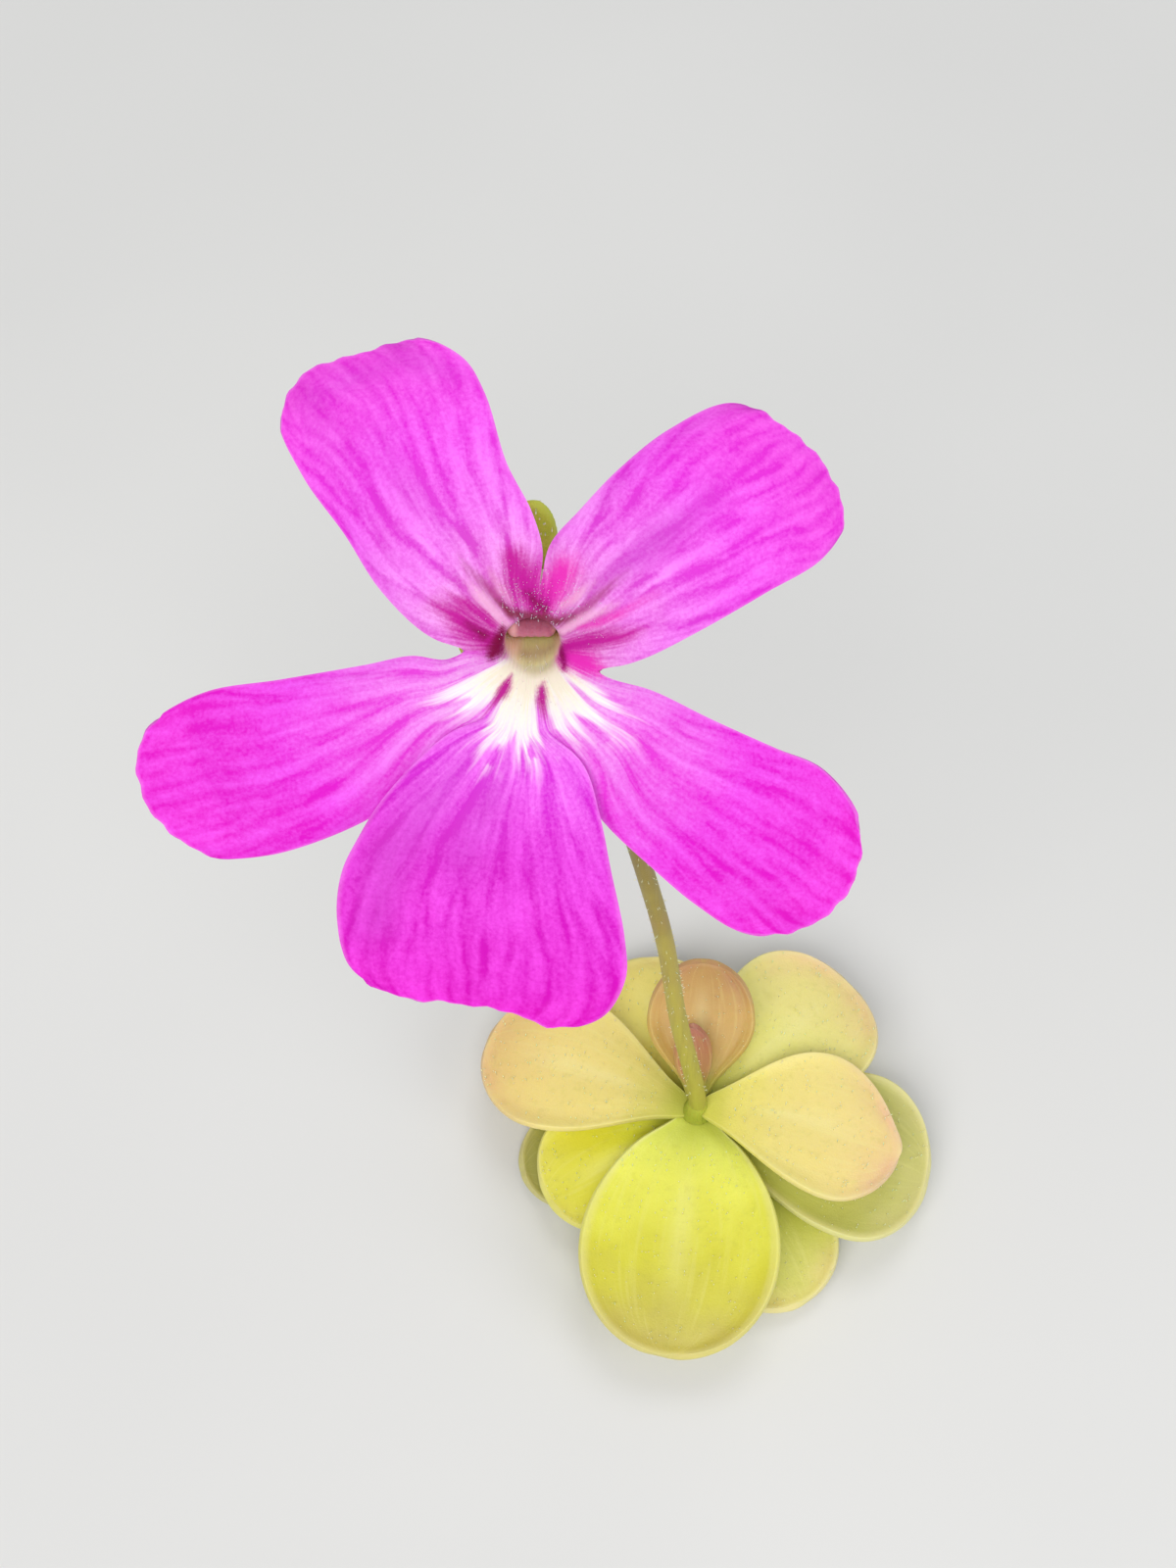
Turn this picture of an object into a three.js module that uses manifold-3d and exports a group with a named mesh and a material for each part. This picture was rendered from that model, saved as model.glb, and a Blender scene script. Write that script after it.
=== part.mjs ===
// A butterwort (Pinguicula) lifted out of the ground: a rosette of fleshy leaves on a short crown
// with its roots, one scape, and one spurred, five-lobed flower.
// Millimetres, +Z up. The origin is the middle of the crown's flat underside, on the resting plane.
import * as THREE from 'three';
import * as BufferGeometryUtils from 'three/addons/utils/BufferGeometryUtils.js';
import Module from 'manifold-3d';

const wasm = await Module();
wasm.setup();

// ---------------------------------------------------------------- driving dimensions

// Crown: the short stem, a blunt cone that carries every leaf and the scape.
const CROWN_HEIGHT = 5.9;
const CROWN_PROFILE = [
  [0, 0], [2.2, 0], [2.4, 0.5], [2.0, 2.0], [1.3, 3.6], [0.9, 4.8], [0.7, CROWN_HEIGHT], [0, CROWN_HEIGHT],
];
const CROWN_SIDES = 14;
const ROOT_COUNT = 7;
// A root's points: distance from the axis, share of its sweep, height.
const ROOT_POINTS = [[1.2, 0, 0.60], [3.0, 0.2, 0.42], [4.8, 0.6, 0.30], [6.4, 1, 0.24]];
const ROOT_RADIUS = 0.42;
const ROOT_TAPER = 0.75;        // a root's radius at its tip as a share of that at its foot
const ROOT_STEPS = 5;
const ROOT_SIDES = 6;
const ROOT_SWEEP = 16;          // degrees that a root turns aside on its way out
const SEAT_GAP = 0.25;          // clearance between a piece and its seat

// Leaves, lowest first. Azimuths are degrees from +X towards +Y; reach is from the crown's axis to the tip.
// base is the height where the leaf leaves the crown; slope is its rise there and droop how far it turns
// down towards the tip, both in degrees; cup lifts the margins, as a share of the half width.
const LEAVES = [
  { azimuth: 249, reach: 10.8, width: 5.6, base: 1.5, slope: 2, droop: 16, cup: 0.06 },
  { azimuth: 136, reach: 12.2, width: 6.8, base: 1.5, slope: 2, droop: 14, cup: 0.06 },
  { azimuth: 12, reach: 11.6, width: 7.0, base: 1.5, slope: 2, droop: 15, cup: 0.06 },
  { azimuth: 71, reach: 10.6, width: 6.4, base: 1.5, slope: 2, droop: 16, cup: 0.06 },
  { azimuth: 194, reach: 11.2, width: 6.8, base: 1.5, slope: 2, droop: 15, cup: 0.06 },
  { azimuth: 300, reach: 12.9, width: 8.4, base: 2.25, slope: 2, droop: 17, cup: 0.08 },
  { azimuth: 208, reach: 10.5, width: 8.0, base: 2.75, slope: 4, droop: 14, cup: 0.08 },
  { azimuth: 345, reach: 14.8, width: 10.8, base: 3.25, slope: 5, droop: 18, cup: 0.08, widest: 0.66 },
  { azimuth: 262, reach: 15.1, width: 12.0, base: 4.15, slope: 8, droop: 26, cup: 0.14, widest: 0.56,
    waist: 0.75 },
  { azimuth: 41, reach: 13.2, width: 10.2, base: 4.25, slope: 8, droop: 20, cup: 0.08, widest: 0.64 },
  { azimuth: 111, reach: 11.3, width: 8.0, base: 3.0, slope: 9, droop: 18, cup: 0.08 },
  { azimuth: 161, reach: 13.9, width: 9.2, base: 4.4, slope: 11, droop: 25, cup: 0.06, widest: 0.64,
    neck: 0.22 },
  { azimuth: 352, reach: 12.6, width: 9.2, base: 5.32, slope: 13, droop: 28, cup: 0.05, widest: 0.60,
    neck: 0.24, waist: 1.2, tip: 0.08, taper: 0.72, skew: -1.4 },
  { azimuth: 87, reach: 8.4, width: 6.6, base: 5.05, slope: 32, droop: 14, cup: 0.14, widest: 0.52,
    neck: 0.26 },
  { azimuth: 97, reach: 3.9, width: 2.3, base: 5.85, slope: 58, droop: 20, cup: 0.10, widest: 0.50 },
];
const LEAF_SHAPE = { neck: 0.34, waist: 1.3, widest: 0.62, tip: 0.24, taper: 0.5, skew: 0, crease: 0.16,
  middle: 1.05, margin: 0.70 };
const YOUNGEST_LEAF = LEAVES.length - 1;
const YOUNGEST_NECK = 0.6;

// Scape: the flower stalk, through these points, leaning to the flower's side and hooked at its top.
const SCAPE_POINTS = [
  [0.0, 0.0, CROWN_HEIGHT + SEAT_GAP], [-0.3, -0.2, 9.3], [-1.69, -0.15, 19.8], [-2.73, -0.5, 30.8],
  [-3.95, -1.2, 40.4], [-6.2, -1.9, 55.0], [-7.7, -2.15, 64.5],
];
const SCAPE_HOOK = 1.5;         // straight length at the scape's top, in line with the flower's tube
const SCAPE_FOOT_RADIUS = 0.55;
const SCAPE_TOP_RADIUS = 0.38;
const SCAPE_STEPS = 40;
const SCAPE_SIDES = 8;

// Flower frame: x to the right, y up along the face, z out of the face. Its origin is the throat.
const FLOWER_PLACE = [-8.6, -8.9, 73.6];
const FACE_ELEVATION = 60;      // degrees above the horizon that the face looks
const PETAL_THICKNESS = 0.6;

// Lobe outlines in the face, anticlockwise, each from one notch between two lobes to the next.
// lean is the height of the two side edges over the face plane, arch the crown between them, curl the
// drop of the tip.
const NOTCH_RIGHT = [2.15, -0.50];
const NOTCH_TOP = [0.20, 2.50];
const NOTCH_LEFT = [-2.36, 0.20];
const NOTCH_LOWER_LEFT = [-1.68, -2.08];
const NOTCH_LOWER_RIGHT = [0.44, -2.52];
const LOBES = [
  { name: 'upper right', lean: [0.0, 0.15], arch: 0.55, curl: 0.9,
    outline: [NOTCH_RIGHT, [3.66, -0.07], [5.44, 0.81], [7.89, 2.21], [9.90, 3.46], [10.64, 4.87],
      [9.95, 6.62], [8.39, 8.02], [6.71, 8.69], [4.60, 7.75], [2.89, 6.38], [1.54, 4.97], [0.57, 3.86],
      NOTCH_TOP] },
  { name: 'upper left', lean: [0.15, 0.0], arch: 0.55, curl: 1.0,
    outline: [NOTCH_TOP, [0.27, 3.69], [-0.10, 4.97], [-0.94, 6.61], [-1.68, 8.99], [-2.42, 10.23],
      [-3.86, 10.94], [-5.50, 10.54], [-8.05, 9.66], [-8.76, 8.19], [-7.95, 6.21], [-6.48, 4.19],
      [-5.27, 2.32], [-3.72, 0.81], NOTCH_LEFT] },
  { name: 'lower left', lean: [0.1, -0.65], arch: 0.45, curl: 0.7,
    outline: [NOTCH_LEFT, [-3.05, -0.10], [-4.19, 0.03], [-5.74, -0.27], [-8.69, -0.77], [-11.24, -1.17],
      [-12.85, -1.98], [-13.66, -2.95], [-13.76, -4.05], [-13.22, -5.57], [-11.17, -6.91], [-9.26, -6.85],
      [-6.54, -5.94], [-5.00, -5.06], [-3.93, -3.88], [-2.80, -2.64], NOTCH_LOWER_LEFT] },
  { name: 'bottom', lean: [0.5, 0.5], arch: 0.35, curl: 1.1,
    outline: [NOTCH_LOWER_LEFT, [-2.62, -2.92], [-3.95, -3.95], [-5.07, -5.00], [-5.95, -6.10],
      [-6.62, -7.40], [-6.81, -9.06], [-6.40, -10.70], [-4.63, -11.74], [-2.92, -11.98], [-0.91, -12.25],
      [0.50, -12.79], [2.35, -12.42], [3.12, -11.11], [3.09, -9.67], [2.58, -7.25], [2.08, -5.40],
      [1.44, -3.80], NOTCH_LOWER_RIGHT] },
  { name: 'lower right', lean: [-0.65, 0.1], arch: 0.45, curl: 0.8,
    outline: [NOTCH_LOWER_RIGHT, [1.54, -3.70], [2.06, -5.20], [2.60, -5.90], [3.93, -7.15], [5.60, -8.59],
      [7.28, -9.60], [9.06, -9.53], [10.74, -8.36], [11.31, -6.74], [11.04, -5.27], [9.90, -3.83],
      [8.29, -3.12], [6.11, -2.15], [3.99, -1.14], [2.85, -0.82], NOTCH_RIGHT] },
];
const LOBE_COLUMNS = 8;
const LOBE_ROWS = 8;
const TIP_SPAN = [0.38, 0.62];  // share of a lobe's outline that is its tip edge
const BASE_BULGE = 0.12;        // how far the limb's base ring swells between two notches
const BASE_RINGS = [0.5, 1];
const LEAN_START = 2.95;        // distance from the throat where neighbouring lobes begin to part
const LEAN_SPAN = 3;
const CURL_START = 1.2;
const CURL_SPAN = 11;

// Throat rim and tube. The tube runs back and up into the flower from the rim, then ends in a round hole
// for the receptacle. Its rings give the place along the tube and the two half widths.
const RIM = { x: -0.03, y: 0.35, roof: -0.55, floor: -0.95, flare: 3.3 };
const TUBE_TILT = 27;           // degrees between the tube's axis and straight back
const TUBE_LENGTH = 4.2;
const TUBE_RINGS = [
  { place: 1.00, width: 0.92, height: 0.92 }, { place: 0.93, width: 1.22, height: 1.22 },
  { place: 0.75, width: 1.48, height: 1.45 }, { place: 0.45, width: 1.50, height: 1.42 },
  { place: 0.18, width: 1.34, height: 1.22 }, { place: 0.00, width: 1.25, height: 1.08 },
];

// Nectar spur, from the tube's floor downwards; its canal opens into the tube.
const SPUR_POINTS = [[0, 1.05, -3.6], [0, 0.1, -4.9], [0, -1.9, -7.6], [0, -4.6, -10.0], [0, -7.2, -11.9]];
const SPUR_RADII = [1.0, 0.52];
const SPUR_END = 0.55;          // the blunt end's radius as a share of the spur's
const SPUR_CANAL = 0.45;        // canal radius as a share of the spur's
const SPUR_STEPS = 12;
const SPUR_SIDES = 10;
const ROOM_SIDES = 16;
const ROOM_MARGIN = 0.36;       // from the tube's middle wall to the room that the spur's root keeps clear of

// Calyx: receptacle and five sepals; turn is degrees from the flower's top around the tube's axis.
const RECEPTACLE_PROFILE = [
  [0, -0.15], [0.5, -0.15], [0.5, 0.42], [1.0, 0.55], [0.9, 1.0], [0.45, 1.3], [0, 1.3],
];
const RECEPTACLE_SIDES = 12;
const SEPALS = [
  { turn: 0, reach: 3.9, width: 1.65 }, { turn: 68, reach: 3.9, width: 1.7 },
  { turn: 131, reach: 3.6, width: 1.6 }, { turn: 229, reach: 3.6, width: 1.6 },
  { turn: 292, reach: 3.9, width: 1.7 },
];
const SEPAL_SHAPE = { neck: 0.62, waist: 1.5, widest: 0.55, tip: 0.2, taper: 0.55, skew: 0, cup: 0.1,
  crease: 0, middle: 0.66, margin: 0.6, slope: 2, droop: -26 };
const SEPAL_SEAT = 0.78;        // place of the sepals' plane behind the tube's end

// Ovary, style and the broad stigma flap under the tube's roof, and the two stamens beside the ovary.
const OVARY_RADIUS = 0.55;
const OVARY_PLACE = [0, -0.02, -0.93];
const STYLE_POINTS = [[0, -0.35, -1.3], [0, -0.52, -2.2], [0, -0.44, -3.05]];
const STYLE_RADIUS = 0.26;
const FLAP = { width: 1.3, height: 0.44, depth: 0.6, place: [0, -0.4, -3.3] };
const STAMEN_POINTS = [[0.40, 0.46, -0.42], [0.62, 0.52, -1.0], [0.44, 0.38, -1.65]];
const STAMEN_RADIUS = 0.17;
const ANTHER_RADIUS = 0.32;

// ---------------------------------------------------------------- materials

const materials = {
  leaf: new THREE.MeshStandardMaterial({ color: 0xd9d95a, roughness: 0.5, metalness: 0 }),
  blush: new THREE.MeshStandardMaterial({ color: 0xe6cf90, roughness: 0.5, metalness: 0 }),
  young: new THREE.MeshStandardMaterial({ color: 0xc9a368, roughness: 0.5, metalness: 0 }),
  stalk: new THREE.MeshStandardMaterial({ color: 0xb4aa55, roughness: 0.5, metalness: 0 }),
  crown: new THREE.MeshStandardMaterial({ color: 0x9a8a52, roughness: 0.8, metalness: 0 }),
  calyx: new THREE.MeshStandardMaterial({ color: 0x96a02d, roughness: 0.6, metalness: 0 }),
  corolla: new THREE.MeshStandardMaterial({ color: 0xe650e6, roughness: 0.6, metalness: 0 }),
  pistil: new THREE.MeshStandardMaterial({ color: 0xbe6482, roughness: 0.6, metalness: 0 }),
  stamen: new THREE.MeshStandardMaterial({ color: 0xf0ecc8, roughness: 0.6, metalness: 0 }),
};

// ---------------------------------------------------------------- helpers

const radians = THREE.MathUtils.degToRad;
const mix = THREE.MathUtils.lerp;

function smooth(value) {
  const x = THREE.MathUtils.clamp(value, 0, 1);
  return x * x * (3 - 2 * x);
}

function vectors(points) {
  return points.map((point) => new THREE.Vector3(...point));
}

// Closed solid between two grids of points, row by row.
function shell(outer, inner) {
  const rows = outer.length;
  const columns = outer[0].length;
  const spans = columns - 1;
  const at = (layer, i, j) => (layer * rows + i) * columns + j;
  const index = [];
  const quad = (a, b, c, d) => index.push(a, b, c, a, c, d);
  for (let j = 0; j < spans; j += 1) {
    for (let i = 0; i < rows - 1; i += 1) {
      quad(at(0, i, j), at(0, i + 1, j), at(0, i + 1, j + 1), at(0, i, j + 1));
      index.push(at(1, i, j), at(1, i + 1, j + 1), at(1, i + 1, j));
      index.push(at(1, i, j), at(1, i, j + 1), at(1, i + 1, j + 1));
    }
    quad(at(0, 0, j), at(0, 0, j + 1), at(1, 0, j + 1), at(1, 0, j));
    quad(at(0, rows - 1, j + 1), at(0, rows - 1, j), at(1, rows - 1, j), at(1, rows - 1, j + 1));
  }
  for (let i = 0; i < rows - 1; i += 1) {
    quad(at(0, i + 1, 0), at(0, i, 0), at(1, i, 0), at(1, i + 1, 0));
    quad(at(0, i, spans), at(0, i + 1, spans), at(1, i + 1, spans), at(1, i, spans));
  }
  const geometry = new THREE.BufferGeometry();
  const corners = [...outer, ...inner].flat().flatMap((point) => point.toArray());
  geometry.setAttribute('position', new THREE.Float32BufferAttribute(corners, 3));
  geometry.setIndex(index);
  return geometry;
}

// Round rod along a curve; radiusAt gives its radius from the curve's start, 0, to its end, 1.
function rod(curve, radiusAt, steps, sides) {
  const frames = curve.computeFrenetFrames(steps, false);
  const corners = [];
  for (let i = 0; i <= steps; i += 1) {
    const centre = curve.getPointAt(i / steps);
    for (let j = 0; j < sides; j += 1) {
      const angle = (j / sides) * 2 * Math.PI;
      corners.push(centre.clone()
        .addScaledVector(frames.normals[i], Math.cos(angle) * radiusAt(i / steps))
        .addScaledVector(frames.binormals[i], Math.sin(angle) * radiusAt(i / steps)));
    }
  }
  corners.push(curve.getPointAt(0), curve.getPointAt(1));
  const foot = corners.length - 2;
  const index = [];
  for (let j = 0; j < sides; j += 1) {
    const next = (j + 1) % sides;
    for (let i = 0; i < steps; i += 1) {
      const low = i * sides;
      const high = low + sides;
      index.push(low + j, low + next, high + next, low + j, high + next, high + j);
    }
    index.push(foot, next, j, foot + 1, steps * sides + j, steps * sides + next);
  }
  const geometry = new THREE.BufferGeometry();
  geometry.setAttribute('position', new THREE.Float32BufferAttribute(corners.flatMap((p) => p.toArray()), 3));
  geometry.setIndex(index);
  return geometry;
}

// A closed mesh as a solid for joining and cutting.
function solid(geometry) {
  const plain = geometry.clone();
  plain.deleteAttribute('normal');
  plain.deleteAttribute('uv');
  const merged = BufferGeometryUtils.mergeVertices(plain);
  return new wasm.Manifold(new wasm.Mesh({
    numProp: 3,
    vertProperties: new Float32Array(merged.attributes.position.array),
    triVerts: new Uint32Array(merged.index.array),
  }));
}

function meshed(body) {
  const mesh = body.getMesh();
  const geometry = new THREE.BufferGeometry();
  geometry.setAttribute('position', new THREE.Float32BufferAttribute(mesh.vertProperties, 3));
  geometry.setIndex(Array.from(mesh.triVerts));
  return geometry;
}

function part(name, geometry, material) {
  const mesh = new THREE.Mesh(geometry, material);
  mesh.name = name;
  return mesh;
}

// ---------------------------------------------------------------- blades: leaves and sepals

const BLADE_FOOT_ROWS = 4;
const BLADE_TIP_ROWS = 4;
const BLADE_COLUMNS = [-1, -0.76, -0.36, 0, 0.36, 0.76, 1];
const FOOT_SHARE = 0.4;         // share of the length over which a blade grows to its full thickness
const GROOVE_SHARE = 0.3;       // the midrib groove's width as a share of the half width

function bladeRows(widest) {
  const rows = [];
  for (let k = 0; k <= BLADE_FOOT_ROWS; k += 1) rows.push((widest * k) / BLADE_FOOT_ROWS);
  for (let k = 1; k <= BLADE_TIP_ROWS; k += 1) {
    rows.push(mix(widest, 1, Math.sin((Math.PI / 2) * (k / BLADE_TIP_ROWS))));
  }
  return rows;
}

function bladeHalfWidth(blade, t) {
  const half = blade.width / 2;
  if (t <= blade.widest) {
    return half * mix(blade.neck, 1, Math.sin((Math.PI / 2) * (t / blade.widest)) ** blade.waist);
  }
  const past = (t - blade.widest) / (1 - blade.widest);
  return half * mix(1, blade.tip ** (1 / blade.taper), past * past) ** blade.taper;
}

// A blade along +X: its middle line is an arc, its margins are lifted, its midrib is a shallow groove.
function bladeGeometry(blade) {
  const start = radians(blade.slope);
  const bend = radians(blade.droop);
  const upper = [];
  const lower = [];
  for (const t of bladeRows(blade.widest)) {
    const angle = start - bend * t;
    const along = (blade.length * (Math.sin(start) - Math.sin(angle))) / bend;
    const rise = (blade.length * (Math.cos(angle) - Math.cos(start))) / bend;
    const half = bladeHalfWidth(blade, t);
    const faces = [[], []];
    for (const v of BLADE_COLUMNS) {
      const groove = blade.crease * Math.exp(-((v / GROOVE_SHARE) ** 2)) * Math.sin(Math.PI * t);
      const lift = blade.cup * half * v ** 4 - groove;
      const thickness = mix(blade.margin, blade.middle, (1 - v * v) * smooth(t / FOOT_SHARE));
      [1, -1].forEach((face, k) => {
        const offset = lift + (face * thickness) / 2;
        faces[k].push(new THREE.Vector3(
          along - offset * Math.sin(angle),
          v * half + blade.skew * t * t,
          rise + offset * Math.cos(angle),
        ));
      });
    }
    upper.push(faces[0]);
    lower.push(faces[1]);
  }
  return shell(upper, lower);
}

function arcReach(slope, droop) {
  const start = radians(slope);
  const bend = radians(droop);
  return (Math.sin(start) - Math.sin(start - bend)) / bend;
}

function crownRadius(height) {
  const above = CROWN_PROFILE.findIndex(([, z], k) => k > 2 && z >= height);
  const [r1, z1] = CROWN_PROFILE[above];
  const [r0, z0] = CROWN_PROFILE[above - 1];
  return mix(r0, r1, (height - z0) / (z1 - z0));
}

function leaf(row, number) {
  const blade = { ...LEAF_SHAPE, ...row };
  if (number === YOUNGEST_LEAF) {
    blade.neck = YOUNGEST_NECK;
    blade.middle = blade.margin;
    blade.crease = 0;
  }
  const start = crownRadius(blade.base) + SEAT_GAP + blade.middle * Math.sin(radians(blade.slope)) / 2;
  blade.length = (blade.reach - start) / arcReach(blade.slope, blade.droop);
  const material = blade.tip < LEAF_SHAPE.tip ? materials.blush : materials.leaf;
  const mesh = part(`leaf_${String(number + 1).padStart(2, '0')}`, bladeGeometry(blade), material);
  const azimuth = radians(blade.azimuth);
  mesh.rotation.z = azimuth;
  mesh.position.set(start * Math.cos(azimuth), start * Math.sin(azimuth), blade.base);
  return mesh;
}

// ---------------------------------------------------------------- crown with its roots

function crown() {
  const profile = CROWN_PROFILE.map(([r, z]) => new THREE.Vector2(r, z));
  const stem = new THREE.LatheGeometry(profile, CROWN_SIDES);
  stem.rotateX(Math.PI / 2);
  let body = solid(stem);
  for (let k = 0; k < ROOT_COUNT; k += 1) {
    const azimuth = (k / ROOT_COUNT) * 360;
    const sweep = ROOT_SWEEP * (k % 2 === 0 ? 1 : -1);
    const points = ROOT_POINTS.map(([reach, share, z]) => {
      const turn = radians(azimuth + sweep * share);
      return new THREE.Vector3(reach * Math.cos(turn), reach * Math.sin(turn), z);
    });
    const radiusAt = (s) => ROOT_RADIUS * mix(1, ROOT_TAPER, s);
    body = body.add(solid(rod(new THREE.CatmullRomCurve3(points), radiusAt, ROOT_STEPS, ROOT_SIDES)));
  }
  // The roots lie flat on the resting plane, level with the stem's underside.
  return part('crown', meshed(body.trimByPlane([0, 0, 1], 0)), materials.crown);
}

// ---------------------------------------------------------------- flower

const tubeTilt = radians(TUBE_TILT);
const tubeBack = new THREE.Vector3(0, Math.sin(tubeTilt), -Math.cos(tubeTilt));
const rimMiddle = new THREE.Vector3(RIM.x, RIM.y, (RIM.roof + RIM.floor) / 2);
const tubeEnd = rimMiddle.clone().addScaledVector(tubeBack, TUBE_LENGTH);

function around([x, y]) {
  return { angle: Math.atan2(y - RIM.y, x - RIM.x), reach: Math.hypot(x - RIM.x, y - RIM.y) };
}

// A lobe's foot: the arc of the limb's base ring between its two notches.
function lobeFoot(lobe, v) {
  const first = around(lobe.outline[0]);
  const last = around(lobe.outline[lobe.outline.length - 1]);
  if (last.angle < first.angle) last.angle += 2 * Math.PI;
  const reach = mix(first.reach, last.reach, v) + BASE_BULGE * Math.sin(Math.PI * v);
  const angle = mix(first.angle, last.angle, v);
  return { angle, x: RIM.x + reach * Math.cos(angle), y: RIM.y + reach * Math.sin(angle) };
}

function tubePoint(ring, angle) {
  const tilt = tubeTilt * smooth(ring.place / 0.3);
  const depth = mix(RIM.floor, RIM.roof, (1 + Math.sin(angle)) / 2) - rimMiddle.z;
  return rimMiddle.clone()
    .addScaledVector(tubeBack, TUBE_LENGTH * ring.place)
    .add(new THREE.Vector3(
      ring.width * Math.cos(angle),
      ring.height * Math.sin(angle) * Math.cos(tilt),
      ring.height * Math.sin(angle) * Math.sin(tilt) + depth * (1 - smooth(ring.place / 0.3)),
    ));
}

// A point of the limb over x and y; side runs from 0 to 1 between the lobe's edges, rim is its rim point.
function limbPoint(lobe, x, y, side, rim) {
  const { reach } = around([x, y]);
  const rimReach = around([rim.x, rim.y]).reach;
  const parting = 1 - Math.exp(-Math.max(0, reach - LEAN_START) / LEAN_SPAN);
  const out = THREE.MathUtils.clamp((reach - CURL_START) / CURL_SPAN, 0, 1);
  const height = rim.z * (1 - smooth((reach - rimReach) / (RIM.flare - rimReach)))
    + parting * mix(lobe.lean[0], lobe.lean[1], side)
    + lobe.arch * Math.sin(Math.PI * side) * 4 * out * (1 - out)
    - lobe.curl * out ** 3;
  return new THREE.Vector3(x, y, height);
}

// The lobe's face between its foot, its two side edges and its tip edge; u runs from foot to tip.
function lobePatch(lobe) {
  const outline = new THREE.CatmullRomCurve3(
    lobe.outline.map(([x, y]) => new THREE.Vector3(x, y, 0)), false, 'centripetal',
  );
  const [tipStart, tipEnd] = TIP_SPAN;
  return (u, v) => {
    const foot = lobeFoot(lobe, v);
    const first = outline.getPointAt(mix(0, tipStart, u));
    const last = outline.getPointAt(mix(1, tipEnd, u));
    const tip = outline.getPointAt(mix(tipStart, tipEnd, v));
    const corners = [0, tipStart, tipEnd, 1].map((place) => outline.getPointAt(place));
    const blend = (axis) => mix(first[axis], last[axis], v) + mix(foot[axis], tip[axis], u)
      - mix(mix(corners[0][axis], corners[3][axis], v), mix(corners[1][axis], corners[2][axis], v), u);
    return [blend('x'), blend('y')];
  };
}

// The corolla's middle surface: rings from the hole at the tube's end to the limb's base, then the lobes.
function corollaSurface() {
  const points = [];
  const quads = [];
  const count = LOBES.length * LOBE_COLUMNS;
  const feet = LOBES.flatMap((lobe) => (
    Array.from({ length: LOBE_COLUMNS }, (_, k) => lobeFoot(lobe, k / LOBE_COLUMNS))));
  const rim = feet.map(({ angle }) => tubePoint(TUBE_RINGS[TUBE_RINGS.length - 1], angle));
  const rings = TUBE_RINGS.map((ring) => feet.map(({ angle }) => tubePoint(ring, angle)));
  for (const t of BASE_RINGS) {
    rings.push(feet.map((foot, k) => {
      const lobe = LOBES[Math.floor(k / LOBE_COLUMNS)];
      const side = (k % LOBE_COLUMNS) / LOBE_COLUMNS;
      return limbPoint(lobe, mix(rim[k].x, foot.x, t), mix(rim[k].y, foot.y, t), side, rim[k]);
    }));
  }
  rings.forEach((ring, i) => {
    points.push(...ring);
    for (let k = 0; k < count && i > 0; k += 1) {
      const next = (k + 1) % count;
      quads.push([(i - 1) * count + k, i * count + k, i * count + next, (i - 1) * count + next]);
    }
  });
  const base = (rings.length - 1) * count;
  LOBES.forEach((lobe, number) => {
    const patch = lobePatch(lobe);
    const column = (k) => (number * LOBE_COLUMNS + k) % count;
    let row = Array.from({ length: LOBE_COLUMNS + 1 }, (_, k) => base + column(k));
    for (let i = 1; i <= LOBE_ROWS; i += 1) {
      const next = row.map((_, k) => points.length + k);
      for (let k = 0; k <= LOBE_COLUMNS; k += 1) {
        const v = k / LOBE_COLUMNS;
        const [x, y] = patch(i / LOBE_ROWS, v);
        points.push(limbPoint(lobe, x, y, v, rim[column(k)]));
        if (k > 0) quads.push([row[k - 1], next[k - 1], next[k], row[k]]);
      }
      row = next;
    }
  });
  return { points, quads };
}

// Closed solid of even thickness about a surface of quads, each split alike on both faces.
function thicken({ points, quads }, thickness) {
  const normals = points.map(() => new THREE.Vector3());
  for (const [a, b, c, d] of quads) {
    const diagonal = points[c].clone().sub(points[a]);
    const normal = diagonal.cross(points[d].clone().sub(points[b]));
    [a, b, c, d].forEach((corner) => normals[corner].add(normal));
  }
  const corners = [1, -1].flatMap((face) => points.map((point, k) => (
    point.clone().addScaledVector(normals[k].normalize(), (face * thickness) / 2))));
  const under = points.length;
  const index = [];
  const edges = new Map();
  for (const quad of quads) {
    const [a, b, c, d] = quad;
    index.push(a, b, c, a, c, d);
    index.push(under + a, under + c, under + b, under + a, under + d, under + c);
    quad.forEach((from, k) => {
      const to = quad[(k + 1) % 4];
      if (!edges.delete(`${to} ${from}`)) edges.set(`${from} ${to}`, [from, to]);
    });
  }
  for (const [from, to] of edges.values()) {
    index.push(to, from, under + from, to, under + from, under + to);
  }
  const geometry = new THREE.BufferGeometry();
  geometry.setAttribute('position', new THREE.Float32BufferAttribute(corners.flatMap((p) => p.toArray()), 3));
  geometry.setIndex(index);
  return geometry;
}

function corolla() {
  const sheet = thicken(corollaSurface(), PETAL_THICKNESS);
  const spurLine = new THREE.CatmullRomCurve3(vectors(SPUR_POINTS));
  const spurRadius = (s) => mix(SPUR_RADII[0], SPUR_RADII[1], s ** 0.5);
  const tipped = (s) => spurRadius(s) * (s < 1 ? 1 : SPUR_END);
  const canalLine = new THREE.CatmullRomCurve3(vectors(SPUR_POINTS.slice(0, -1)));
  const spur = solid(rod(spurLine, tipped, SPUR_STEPS, SPUR_SIDES));
  const room = tubeRoom();
  const canal = solid(rod(canalLine, (s) => SPUR_CANAL * spurRadius(s), SPUR_STEPS, SPUR_SIDES));
  return part('corolla', meshed(solid(sheet).add(spur).subtract(room).subtract(canal)), materials.corolla);
}

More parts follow.
